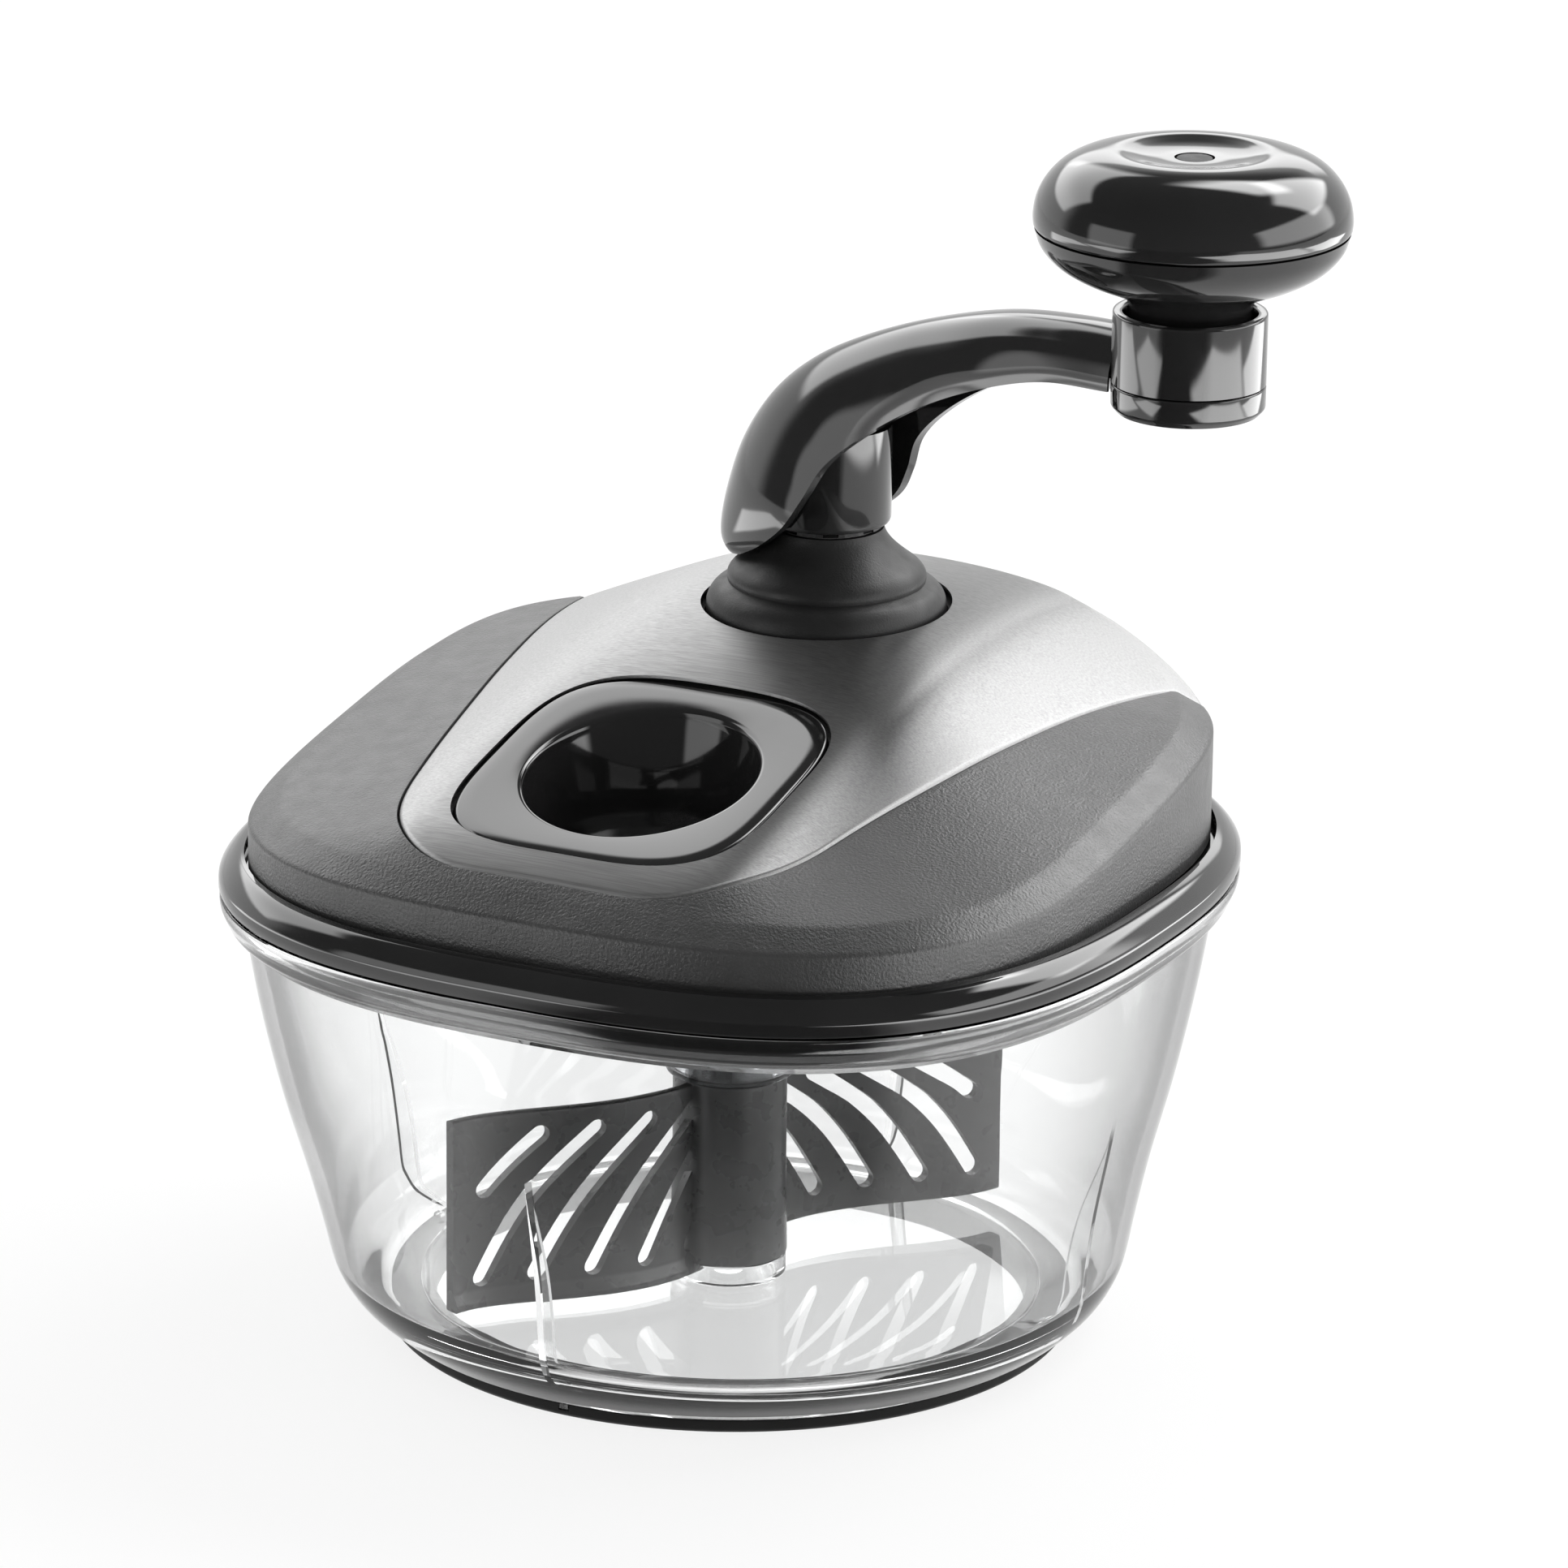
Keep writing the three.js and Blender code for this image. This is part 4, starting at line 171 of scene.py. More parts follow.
def skin(rings, looped=False):
    """Faces over a stack of equal rings; a ring of one point is a pole."""
    verts, starts, faces = [], [], []
    for ring in rings:
        starts.append(len(verts))
        verts.extend(np.asarray(ring, float).reshape(-1, 3).tolist())
    sizes = [len(np.asarray(ring).reshape(-1, 3)) for ring in rings]
    for i in range(len(rings) if looped else len(rings) - 1):
        j = (i + 1) % len(rings)
        n = max(sizes[i], sizes[j])
        for k in range(n):
            a, b = starts[i] + k % sizes[i], starts[i] + (k + 1) % n % sizes[i]
            c, d = starts[j] + (k + 1) % n % sizes[j], starts[j] + k % sizes[j]
            if sizes[i] == 1:
                faces.append([a, c, d])
            elif sizes[j] == 1:
                faces.append([a, b, c])
            else:
                faces.append([a, b, c, d])
    return verts, faces


def capped(rings):
    """A skin over rings whose two ends are closed by one flat face each."""
    verts, faces = skin(rings)
    n = len(rings[0])
    return verts, faces + [list(range(n)), list(range(len(verts) - n, len(verts)))]


def new_object(name, verts, faces):
    """A linked object from points in millimetres, with doubled points merged."""
    mesh = bpy.data.meshes.new(name)
    mesh.from_pydata((np.asarray(verts, float) * MM).tolist(), [], faces)
    bm = bmesh.new()
    bm.from_mesh(mesh)
    bmesh.ops.remove_doubles(bm, verts=bm.verts, dist=1e-7)
    bmesh.ops.recalc_face_normals(bm, faces=bm.faces)
    bm.to_mesh(mesh)
    bm.free()
    obj = bpy.data.objects.new(name, mesh)
    bpy.context.scene.collection.objects.link(obj)
    return obj


def cut(obj, tools, operation="DIFFERENCE"):
    """Applies booleans with closed tool objects, which are then removed."""
    for tool in tools:
        mod = obj.modifiers.new("cut", "BOOLEAN")
        mod.operation = operation
        mod.solver = "EXACT"
        mod.object = tool
    graph = bpy.context.evaluated_depsgraph_get()
    mesh = bpy.data.meshes.new_from_object(obj.evaluated_get(graph))
    obj.modifiers.clear()
    obj.data = mesh
    for tool in tools:
        bpy.data.objects.remove(tool)
    return obj


def join(objects):
    """One object that holds all the meshes."""
    bm = bmesh.new()
    for obj in objects:
        bm.from_mesh(obj.data)
    bm.to_mesh(objects[0].data)
    bm.free()
    for obj in objects[1:]:
        bpy.data.objects.remove(obj)
    return objects[0]


def place(obj, x=0.0, y=0.0, turn=0.0):
    """Turns a mesh about Z and then moves it, by millimetres."""
    move = Matrix.Translation((x * MM, y * MM, 0.0))
    obj.data.transform(move @ Matrix.Rotation(turn, 4, "Z"))
    return obj


def dress(obj, body, slot, replaces, sharp):
    """Gives a piece its shading, the material of its slot and its body, and hides the nodes that it
    replaces.
    """
    mesh = obj.data
    mesh.shade_smooth()
    mesh.set_sharp_from_angle(angle=math.radians(sharp))
    mesh.materials.clear()
    mesh.materials.append(MATERIAL_OF_SLOT[slot])
    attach(obj, body)
    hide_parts(*replaces)


def circle(count=AROUND):
    """Equal angles once round."""
    return 2 * np.pi * np.arange(count) / count


def revolved(name, profile, steps=128, looped=False):
    """A profile of (radius, height) points turned round the Z axis."""
    c, s = np.cos(circle(steps)), np.sin(circle(steps))
    rings = [[[0, 0, z]] if r < 1e-6 else np.stack([r * c, r * s, np.full(steps, z)], 1)
             for r, z in profile]
    return new_object(name, *skin(rings, looped))


def bore(name, radius, low, high, steps=96):
    """A solid cylinder on the Z axis, for cutting."""
    return revolved(name, [(0, low), (radius, low), (radius, high), (0, high)], steps)


def square_radius(angle, half, power):
    """Radius of a rounded square; a power of 2 is a circle and a higher one is squarer."""
    return half / (np.abs(np.cos(angle)) ** power + np.abs(np.sin(angle)) ** power) ** (1 / power)


def square_ring(half, power, height):
    a = circle()
    r = square_radius(a, half, power)
    return np.stack([r * np.cos(a), r * np.sin(a), np.broadcast_to(height, a.shape)], 1)


def squared(name, profile):
    """A loft of rounded square rings from (half, height, power) points."""
    rings = [[[0, 0, z]] if half < 1e-6 else square_ring(half, power, z)
             for half, z, power in profile]
    return new_object(name, *skin(rings))


def prism(name, outline, low, high, upright=False):
    """A prism on an XY outline along Z, or for an upright one on an XZ outline along Y."""
    n = len(outline)
    point = (lambda u, v, level: (u, level, v)) if upright else (lambda u, v, level: (u, v, level))
    verts = [point(u, v, level) for level in (low, high) for u, v in outline]
    caps = [list(range(n)), list(range(n, 2 * n))]
    caps[1 if upright else 0].reverse()
    sides = [[k, (k + 1) % n, n + (k + 1) % n, n + k] for k in range(n)]
    return new_object(name, verts, caps + sides)


def fin(name, profile, thickness, turn):
    """A plate on a [radius, height] outline, centred on the XZ plane, then turned about Z."""
    half = thickness / 2
    return place(prism(name, profile, -half, half, upright=True), turn=turn)


# Materials

# The part of a noise's range that is spread over a material's values
NOISE_LOW, NOISE_HIGH = 0.3, 0.7
# Painted edge shade of clear plastic: how edge-on a wall is seen, from 0 to 1, and the share of its
# colour that it keeps
CLEAR_PAINTED_EDGE_SHADE = ((0.35, 1.0), (0.9, 0.03))
# The upward part of a face's normal up to which it counts as upright, and from which as level, for
# the painted edge shade
UPRIGHT, LEVEL = 0.25, 0.8
PLASTIC_IOR = 1.46
# Scale and detail of the noise in a plastic's tone and gloss, and scales of the fine lines in metal
TONE_NOISE, GLOSS_NOISE = (60, 4), (240, 3)
LINE_TONE, LINE_GLOSS, LINE_BUMP = 5200, 3100, 4300


def nodes_of(name):
    """A new material with its node tree and its main shader."""
    material = bpy.data.materials.new(name)
    material.use_nodes = True
    tree = material.node_tree
    return material, tree, tree.nodes["Principled BSDF"]


def add(tree, kind, inputs=None, **settings):
    """A new node with its settings and the values of its inputs."""
    node = tree.nodes.new(kind)
    for key, value in settings.items():
        setattr(node, key, value)
    for key, value in (inputs or {}).items():
        node.inputs[key].default_value = value
    return node


def math_node(tree, operation, *inputs):
    """The output of a math node on sockets and numbers."""
    node = add(tree, "ShaderNodeMath", operation=operation)
    for k, value in enumerate(inputs):
        if isinstance(value, bpy.types.NodeSocket):
            tree.links.new(value, node.inputs[k])
        else:
            node.inputs[k].default_value = value
    return node.outputs[0]


def product_of(tree, *sockets):
    total = sockets[0]
    for socket in sockets[1:]:
        total = math_node(tree, "MULTIPLY", total, socket)
    return total


def along(tree, vector, direction):
    """How far a vector points in a direction."""
    node = add(tree, "ShaderNodeVectorMath", {1: direction}, operation="DOT_PRODUCT")
    tree.links.new(vector, node.inputs[0])
    return node.outputs["Value"]


def noise(tree, scale, detail, rough=0.5, stretch=(1, 1, 1)):
    """Noise in the object's own space, so that it stays on a piece that moves."""
    coord = add(tree, "ShaderNodeTexCoord")
    mapping = add(tree, "ShaderNodeMapping")
    mapping.inputs["Scale"].default_value = stretch
    tex = add(tree, "ShaderNodeTexNoise", {"Scale": scale, "Detail": detail, "Roughness": rough})
    tree.links.new(coord.outputs["Object"], mapping.inputs["Vector"])
    tree.links.new(mapping.outputs["Vector"], tex.inputs["Vector"])
    return tex


def spread(tree, source, low, high, socket):
    """Sends a noise to a socket between two values."""
    node = add(tree, "ShaderNodeMapRange",
               {"From Min": NOISE_LOW, "From Max": NOISE_HIGH, "To Min": low, "To Max": high})
    tree.links.new(source.outputs["Fac"], node.inputs["Value"])
    tree.links.new(node.outputs["Result"], socket)


def tint(tree, source, low, high, socket):
    """Sends a noise to a colour socket between two greys."""
    node = add(tree, "ShaderNodeValToRGB")
    ends = ((NOISE_LOW, low), (NOISE_HIGH, high))
    for element, (position, grey) in zip(node.color_ramp.elements, ends):
        element.position = position
        element.color = (grey, grey, grey, 1)
    tree.links.new(source.outputs["Fac"], node.inputs["Fac"])
    tree.links.new(node.outputs["Color"], socket)


def bump(tree, shader, source, strength, distance):
    node = add(tree, "ShaderNodeBump", {"Strength": strength, "Distance": distance})
    tree.links.new(source.outputs["Fac"], node.inputs["Height"])
    tree.links.new(node.outputs["Normal"], shader.inputs["Normal"])


def plastic(name, low, high, rough, grain=None, specular=0.5):
    """Moulded plastic: slight tone and gloss changes, with an optional moulded grain.

    The grain is the scale of its noise, the strength of the bump and its depth in metres.
    """
    material, tree, shader = nodes_of(name)
    tint(tree, noise(tree, *TONE_NOISE), low, high, shader.inputs["Base Color"])
    spread(tree, noise(tree, *GLOSS_NOISE), *rough, shader.inputs["Roughness"])
    shader.inputs["Specular IOR Level"].default_value = specular
    if grain:
        scale, strength, depth = grain
        bump(tree, shader, noise(tree, scale, 2, 0.6), strength, depth)
    return material


def brushed(name, low, high, stretch, rough, aniso=0.0):
    """Metal with fine lines, which blurs what it mirrors across them."""
    material, tree, shader = nodes_of(name)
    shader.inputs["Metallic"].default_value = 1.0
    shader.inputs["Anisotropic"].default_value = aniso
    if aniso:
        across = add(tree, "ShaderNodeCombineXYZ", {"Y": 1.0})
        tree.links.new(across.outputs[0], shader.inputs["Tangent"])
    tone, gloss = noise(tree, LINE_TONE, 3, 0.6, stretch), noise(tree, LINE_GLOSS, 3, 0.6, stretch)
    tint(tree, tone, low, high, shader.inputs["Base Color"])
    spread(tree, gloss, *rough, shader.inputs["Roughness"])
    bump(tree, shader, noise(tree, LINE_BUMP, 2, 0.6, stretch), 0.1, 0.00004)
    return material


def clear(name, color, rough):
    """See-through plastic with painted shade: its colour darkens where an upright wall is seen
    edge-on.
    """
    material, tree, shader = nodes_of(name)
    shader.inputs["Transmission Weight"].default_value = 1.0
    ramp = add(tree, "ShaderNodeValToRGB")
    ramp.color_ramp.interpolation = "EASE"
    for element, (position, share) in zip(ramp.color_ramp.elements, CLEAR_PAINTED_EDGE_SHADE):
        element.position = position
        element.color = (*[c * share for c in color], 1)
    facing = add(tree, "ShaderNodeLayerWeight", {"Blend": 0.5}).outputs["Facing"]
    normal = tree.nodes.new("ShaderNodeNewGeometry").outputs["Normal"]
    upright = add(tree, "ShaderNodeMapRange",
                  {"From Min": UPRIGHT, "From Max": LEVEL, "To Min": 1.0, "To Max": 0.0})
    flat = math_node(tree, "ABSOLUTE", along(tree, normal, (0, 0, 1)))
    tree.links.new(flat, upright.inputs["Value"])
    # Painted edge shade: the colour darkens on upright walls seen edge-on, in place of the darker
    # refraction there
    painted_edge_shade = product_of(tree, upright.outputs["Result"], facing)
    tree.links.new(painted_edge_shade, ramp.inputs["Fac"])
    tree.links.new(ramp.outputs["Color"], shader.inputs["Base Color"])
    shader.inputs["IOR"].default_value = PLASTIC_IOR
    spread(tree, noise(tree, 90, 3), *rough, shader.inputs["Roughness"])
    bump(tree, shader, noise(tree, 25, 2), 0.02, 0.0004)
    return material


MATERIAL_OF_SLOT = {
    "gloss_black": plastic("gloss_black_plastic", 0.009, 0.013, (0.05, 0.08), specular=0.85),
    "matt_black": plastic("matt_black_plastic", 0.011, 0.016, (0.40, 0.52),
                          (2600, 0.45, 0.00012), 0.4),
    "cover_grey": plastic("grained_charcoal_plastic", 0.034, 0.044, (0.36, 0.44),
                          (1700, 0.8, 0.0002), 0.85),
    "paddle_plastic": plastic("dark_grey_plastic", 0.042, 0.054, (0.24, 0.34), (900, 0.06, 0.0001)),
    "rubber_ring": plastic("black_rubber", 0.008, 0.012, (0.4, 0.55), (1500, 0.2, 0.0001), 0.2),
    "brushed_plate": brushed("brushed_steel", 0.29, 0.45, (0.012, 1, 1), (0.36, 0.44), 0.85),
    "plain_steel": brushed("turned_steel", 0.42, 0.56, (1, 1, 0.05), (0.2, 0.34)),
    "bush_bronze": plastic("sintered_bronze", 0.2, 0.28, (0.3, 0.5), (3000, 0.3, 0.0001)),
    "gear_plastic": plastic("natural_gear_plastic", 0.62, 0.70, (0.35, 0.5), (700, 0.08, 0.0001)),
    "clear_bowl": clear("clear_plastic", (0.967, 0.971, 0.971), (0.0, 0.02)),
    "smoked_plastic": clear("smoked_plastic", (0.60, 0.61, 0.63), (0.08, 0.14)),
}
for part in frame["record"]["subparts"]:
    node = frame["nodes"][part["node"]]
    node.data.materials.clear()
    node.data.materials.append(MATERIAL_OF_SLOT[part["material_slot"]])
    node.data.polygons.foreach_set("material_index", np.zeros(len(node.data.polygons), np.int32))


# Bowl, base ring and paddle

# Half width, height and squareness of the bowl's outside, from its foot up
BOWL_STATIONS = [
    (FOOT_RADIUS, BOWL_FOOT, 2.0), (68.0, 3.5, 2.0), (70.0, 5.1, 2.0), (73.0, 8.2, 2.03),
    (74.9, 12.0, 2.07), (75.7, 16.0, 2.11), (76.1, 20.0, 2.16), (77.6, 32.0, 2.32),
    (80.7, 48.0, 2.48), (83.5, 65.0, 2.6), (NECK_HALF, BOWL_NECK, RIM_POWER),
]


def make_bowl():
    n = RIM_POWER
    wall = curve_through(BOWL_STATIONS, 52)
    lip = fillet([(NECK_HALF, BOWL_NECK, n), (88.7, 82.6, n), (LIP_HALF, 86.0, n),
                  (LIP_HALF, BOWL_TOP, n), (84.5, BOWL_TOP, n), (83.4, 81.0, n)], 0.8)
    inside = wall[wall[:, 1] > FLOOR_FILLET_TOP][::-1] - [BOWL_WALL, 0, 0]
    floor = fillet([(72.9, FLOOR_FILLET_TOP, 2.09), (70.6, 10.4, 2.06), (65.5, 8.7, 2.03),
                    (59.5, FLOOR_TOP, 2.0)], 2.0)
    under = fillet([(FOOT_INNER, FLOOR_UNDER, 2.0), (FOOT_INNER, BOWL_FOOT, 2.0),
                    (FOOT_RADIUS, BOWL_FOOT, 2.0)], 0.3)
    bowl = squared("clear_bowl", [(0, FLOOR_UNDER, 2.0), *under[:-1], *wall[:-1], *lip, *inside[2:],
                                  *floor, (0, FLOOR_TOP, 2.0)])
    ring = fillet([(PIVOT_INNER, PIVOT_ROOT), (PIVOT_OUTER, PIVOT_ROOT), (PIVOT_OUTER, PIVOT_TOP),
                   (PIVOT_INNER, PIVOT_TOP)], 0.4, closed=True)
    pin = fillet([(PIN_RADIUS, PIVOT_ROOT), (PIN_RADIUS, PIN_TOP), (0.001, PIN_TOP)], 0.8)
    extras = [revolved("ring", ring, 96, True),
              revolved("pin", [(0, PIVOT_ROOT), *pin, (0, PIN_TOP)], 48)]
    outside = np.array([s[:2] for s in curve_through(BOWL_STATIONS, 80)
                        if RIB_BOTTOM <= s[1] <= RIB_TOP])
    depth = RIB_DEPTH * (1 - smoothstep(outside[:, 1], RIB_TAPER, RIB_TOP) ** 2)
    back = [(r - 1.0, z) for r, z in outside]
    face = [(r - BOWL_WALL - d, z) for (r, z), d in zip(outside, depth)][::-1]
    lug = [(64.2, 1.6), (66.0, 1.6), (66.0, 4.2), (64.2, 4.2)]
    for turn in QUARTER_TURNS:
        extras.append(fin("rib", [(61.0, 7.6), *back, *face], RIB_THICKNESS, turn))
        extras.append(fin("lug", lug, LUG_WIDTH, turn))
    cut(bowl, extras, "UNION")
    dress(bowl, "bowl", "clear_bowl", ["bowl"], 24)


def make_base_ring():
    ring = revolved("foot_ring", fillet([
        (RING_INNER, 0.0), (65.3, 0.0), (RING_OUTER, 0.7), (RING_OUTER, RING_TOP),
        (RING_LEDGE, RING_TOP), (RING_LEDGE, RING_LIP_TOP), (RING_INNER, RING_LIP_TOP),
    ], 0.35, closed=True), 192, True)
    notch = [(63.8, 1.3), (67.0, 1.3), (67.0, 4.0), (63.8, 4.0)]
    cut(ring, [fin("notch", notch, NOTCH_WIDTH, turn) for turn in QUARTER_TURNS])
    dress(ring, "bowl", "rubber_ring", ["base_ring"], 32)


# Corners of the curve that a blade follows, seen from above
BLADE_CONTROL = np.array([(0.12, 0.02), (0.45, 0.2), (0.77, -0.04), (1.0, 0.015)]) * BLADE_REACH


def blade_point(t):
    """A point on the blade's middle line, and the line's direction there."""
    u = 1 - t
    b = np.array([u ** 3, 3 * t * u ** 2, 3 * t * t * u, t ** 3])
    d = np.array([-3 * u ** 2, 3 * u ** 2 - 6 * t * u, 6 * t * u - 3 * t * t, 3 * t * t])
    tangent = d @ BLADE_CONTROL
    return b @ BLADE_CONTROL, tangent / np.linalg.norm(tangent)


def slot_outline(k, rise):
    """A slanting, slightly bowed slot with round ends, as points along the blade and up it."""
    share = np.linspace(0, 1, 13)
    bulge = SLOT_BULGE * np.sin(np.pi * share)
    out = SLOT_FIRST + SLOT_PITCH * k - SLOT_LEAN * share + bulge
    up = SLOT_BOTTOM + rise + (SLOT_RISE - rise) * share + bulge
    line = np.stack([out, up], 1)
    line = line[(line[:, 0] > SLOT_INNER_END) & (line[:, 0] < SLOT_OUTER_END)]
    if len(line) < 2:
        return None
    way = np.gradient(line, axis=0)
    way /= np.linalg.norm(way, axis=1)[:, None]
    side = np.stack([-way[:, 1], way[:, 0]], 1) * SLOT_HALF
    ends = []
    for centre, (dx, dy) in ((line[-1], way[-1]), (line[0], -way[0])):
        start = math.atan2(dy, dx) + math.pi / 2
        turns = np.linspace(start, start - math.pi, 9)[1:-1]
        ends.append([centre + SLOT_HALF * np.array([math.cos(a), math.sin(a)]) for a in turns])
    return np.vstack([line + side, ends[0], (line - side)[::-1], ends[1]])


def make_blade(rise):
    """A blade along +X whose lower edge stands higher by rise."""
    bottom, toe = BLADE_BOTTOM + rise, BLADE_HALF + BLADE_LIP
    section = fillet([(-BLADE_HALF, bottom), (toe, bottom), (toe, bottom + BLADE_LIP),
                      (BLADE_HALF, bottom + 3.4), (BLADE_HALF, BLADE_TOP),
                      (-BLADE_HALF, BLADE_TOP)], 0.5, closed=True)
    rings = []
    for t in np.linspace(0, 1, 72):
        (x, y), (dx, dy) = blade_point(t)
        rings.append([(x - dy * a, y + dx * a, z) for a, z in section])
    outlines = [slot_outline(k, rise) for k in range(SLOT_COUNT)]
    return cut(new_object("blade", *capped(rings)),
               [prism("slot", outline, -25, 25, upright=True) for outline in outlines
                if outline is not None])


def make_paddle():
    side = fillet([(HUB_FOOT, HUB_BOTTOM), (HUB_RADIUS, 30.0), (HUB_RADIUS, HUB_TOP),
                   (1.0, HUB_TOP)], 0.5)
    hub = revolved("wave_paddle", [(0, HUB_BOTTOM), *side, (0, HUB_TOP)])
    near = place(make_blade(0), turn=math.radians(BLADE_ANGLE))
    far = place(make_blade(BLADE_STEP), turn=math.radians(BLADE_ANGLE + 180))
    corner = HEX_ACROSS / math.sqrt(3)
    hexagon = [(corner * math.cos(a), corner * math.sin(a)) for a in circle(6)]
    paddle = join([hub, near, far, prism("hexagon", hexagon, HEX_BOTTOM, HEX_TOP)])
    dress(paddle, "paddle", "paddle_plastic", ["paddle"], 30)


# Lid

def crown(y):
    """Height of the dome along its middle."""
    past = np.maximum(y - CROWN_TURN, 0)
    roll = np.minimum(y - ROLL_START, 0) / ROLL_SPAN
    straight = CROWN_LEVEL + CROWN_SLOPE * y
    return straight - CROWN_SLOPE * past * past / CROWN_SPAN - ROLL_DROP * roll * roll


def plate_height(x, y):
    """Height of the plate, which falls off more steeply towards its sides."""
    reach = np.abs(x)
    arch = 0.4 + 2.4 * smoothstep(y, -40, 20)
    within = np.minimum(reach / SIDE_START, 1)
    past = reach - SIDE_START
    fall = SIDE_SLOPE * (past + np.sqrt(past ** 2 + SIDE_SOFTNESS)) / 2
    return crown(y) - arch * within ** 2 - fall


def plate_outline():
    """The plate seen from above: round front corners, and wider towards the back."""
    side = lambda y: PLATE_HALF + PLATE_FLARE * (y - PLATE_CORNER)
    t = np.linspace(0, 1, 24)[:, None]
    corner = bend(np.array([15.0, PLATE_FRONT]), np.array([37.0, PLATE_FRONT]),
                  np.array([side(PLATE_CORNER), PLATE_CORNER]), t)
    right = np.vstack([corner, [(side(PLATE_END), PLATE_END)]])
    return np.vstack([right, (right * [-1, 1])[::-1]])


def reach_of(outline, angles):
    """How far an outline is from the axis in each direction."""
    dx, dy = (np.roll(outline, -1, 0) - outline).T
    out = []
    for a in angles:
        c, s = math.cos(a), math.sin(a)
        across = c * dy - s * dx
        with np.errstate(divide="ignore", invalid="ignore"):
            share = (outline[:, 0] * s - outline[:, 1] * c) / across
            dist = (outline[:, 0] * dy - outline[:, 1] * dx) / across
        good = (share >= -1e-9) & (share <= 1 + 1e-9) & (dist > 0)
        out.append(dist[good].min())
    return np.array(out)


# Radii and heights of the dome at each of these angles; behind, the plate runs over its edge
DOME_ANGLES = circle(320)
COS, SIN = np.cos(DOME_ANGLES), np.sin(DOME_ANGLES)
SHOULDER = square_radius(DOME_ANGLES, COVER_HALF - INSET, COVER_POWER)
WALL = square_radius(DOME_ANGLES, COVER_HALF, COVER_POWER)
PLATE_REACH = reach_of(plate_outline(), DOME_ANGLES)
BACK = PLATE_REACH > SHOULDER
EDGE = np.where(BACK, plate_height(SHOULDER * COS, SHOULDER * SIN),
                EDGE_FRONT + EDGE_RISE * smoothstep(SHOULDER * SIN, -50, 50))
ROUND_START = SHOULDER - ROUNDING


def dome_height(radius):
    """Height of the dome at each angle's radius, out to the shoulder."""
    inner = plate_height(radius * COS, radius * SIN)
    edge = plate_height(PLATE_REACH * COS, PLATE_REACH * SIN)
    past = np.clip((radius - PLATE_REACH) / np.maximum(SHOULDER - PLATE_REACH, 1e-3), 0, 1)
    return np.where(radius > PLATE_REACH, edge + (EDGE - edge) * past, inner)


def dome_points(radius, height):
    return np.stack([radius * COS, radius * SIN, np.broadcast_to(height, COS.shape)], 1)


def plate_points(radius, down=0.0):
    """A ring on the plate's upper face, or below it."""
    return dome_points(radius, plate_height(radius * COS, radius * SIN) - down)


def plate_centre(down=0.0):
    """The pole of the rings on the plate's upper face, or below it."""
    return [[0, 0, float(plate_height(0.0, 0.0)) - down]]


def edge_path():
    """Radii and heights over the shoulder's rounded edge, the chamfer and onto the wall."""
    slope = lambda share: (SHOULDER + (WALL - SHOULDER) * share, EDGE - CHAMFER * share)
    over = (ROUND_START, dome_height(ROUND_START)), (SHOULDER, EDGE), slope(0.12)
    foot = slope(0.85), (WALL, EDGE - CHAMFER), (WALL, EDGE - CHAMFER - ROUNDING)
    return [tuple(bend(a, b, c, t) for a, b, c in zip(*corner))
            for corner in (over, foot) for t in np.linspace(0, 1, 6)]


def make_cover():
    pocket = PLATE_SEAT + 1.2
    groove = np.minimum(PLATE_REACH + GAP, ROUND_START)
    rings = [plate_centre(pocket)]
    rings += [plate_points(groove * share, pocket) for share in np.linspace(0.1, 1, 14)]
    step = np.where(BACK, PLATE_SEAT, 0)
    rings.append(dome_points(groove, dome_height(groove) - 0.35 - step))
    rings.append(dome_points(groove + np.where(BACK, 0, 0.12), dome_height(groove) - 0.1 - step))
    start = groove + np.where(BACK, 0, 0.4)
    for share in np.linspace(0, 1, 26)[:-1]:
        r = np.minimum(start + (ROUND_START - start) * share, ROUND_START)
        rings.append(dome_points(r, dome_height(r) - step))
    rings += [dome_points(r - step, z - step * 0.5) for r, z in edge_path()]
    low = np.minimum(EDGE - CHAMFER - 2.0, 107.1)
    rings += [
        dome_points(WALL - step, np.minimum(EDGE - CHAMFER - 1.6, 107.5)),
        dome_points(WALL, low),
        dome_points(WALL, COVER_BOTTOM + 0.4),
        dome_points(WALL - 0.4, COVER_BOTTOM),
        dome_points(WALL - 2.4, COVER_BOTTOM),
        dome_points(WALL - 3.0, low - 2.0),
    ]
    for share in np.linspace(0.9, 0.1, 9):
        r = SHOULDER * share
        rings.append(dome_points(r, dome_height(r) - COVER_THICKNESS))
    rings.append(plate_centre(COVER_THICKNESS))
    cover = new_object("lid_dome", *skin(rings))
    cut(cover, [place(bore("tower_hole", 23.4, 100, 140), y=GEAR_Y),
                leaning_plug("collar_hole", 30.5, 4, -14)])
    dress(cover, "lid", "cover_grey", ["lid_cover"], 28)


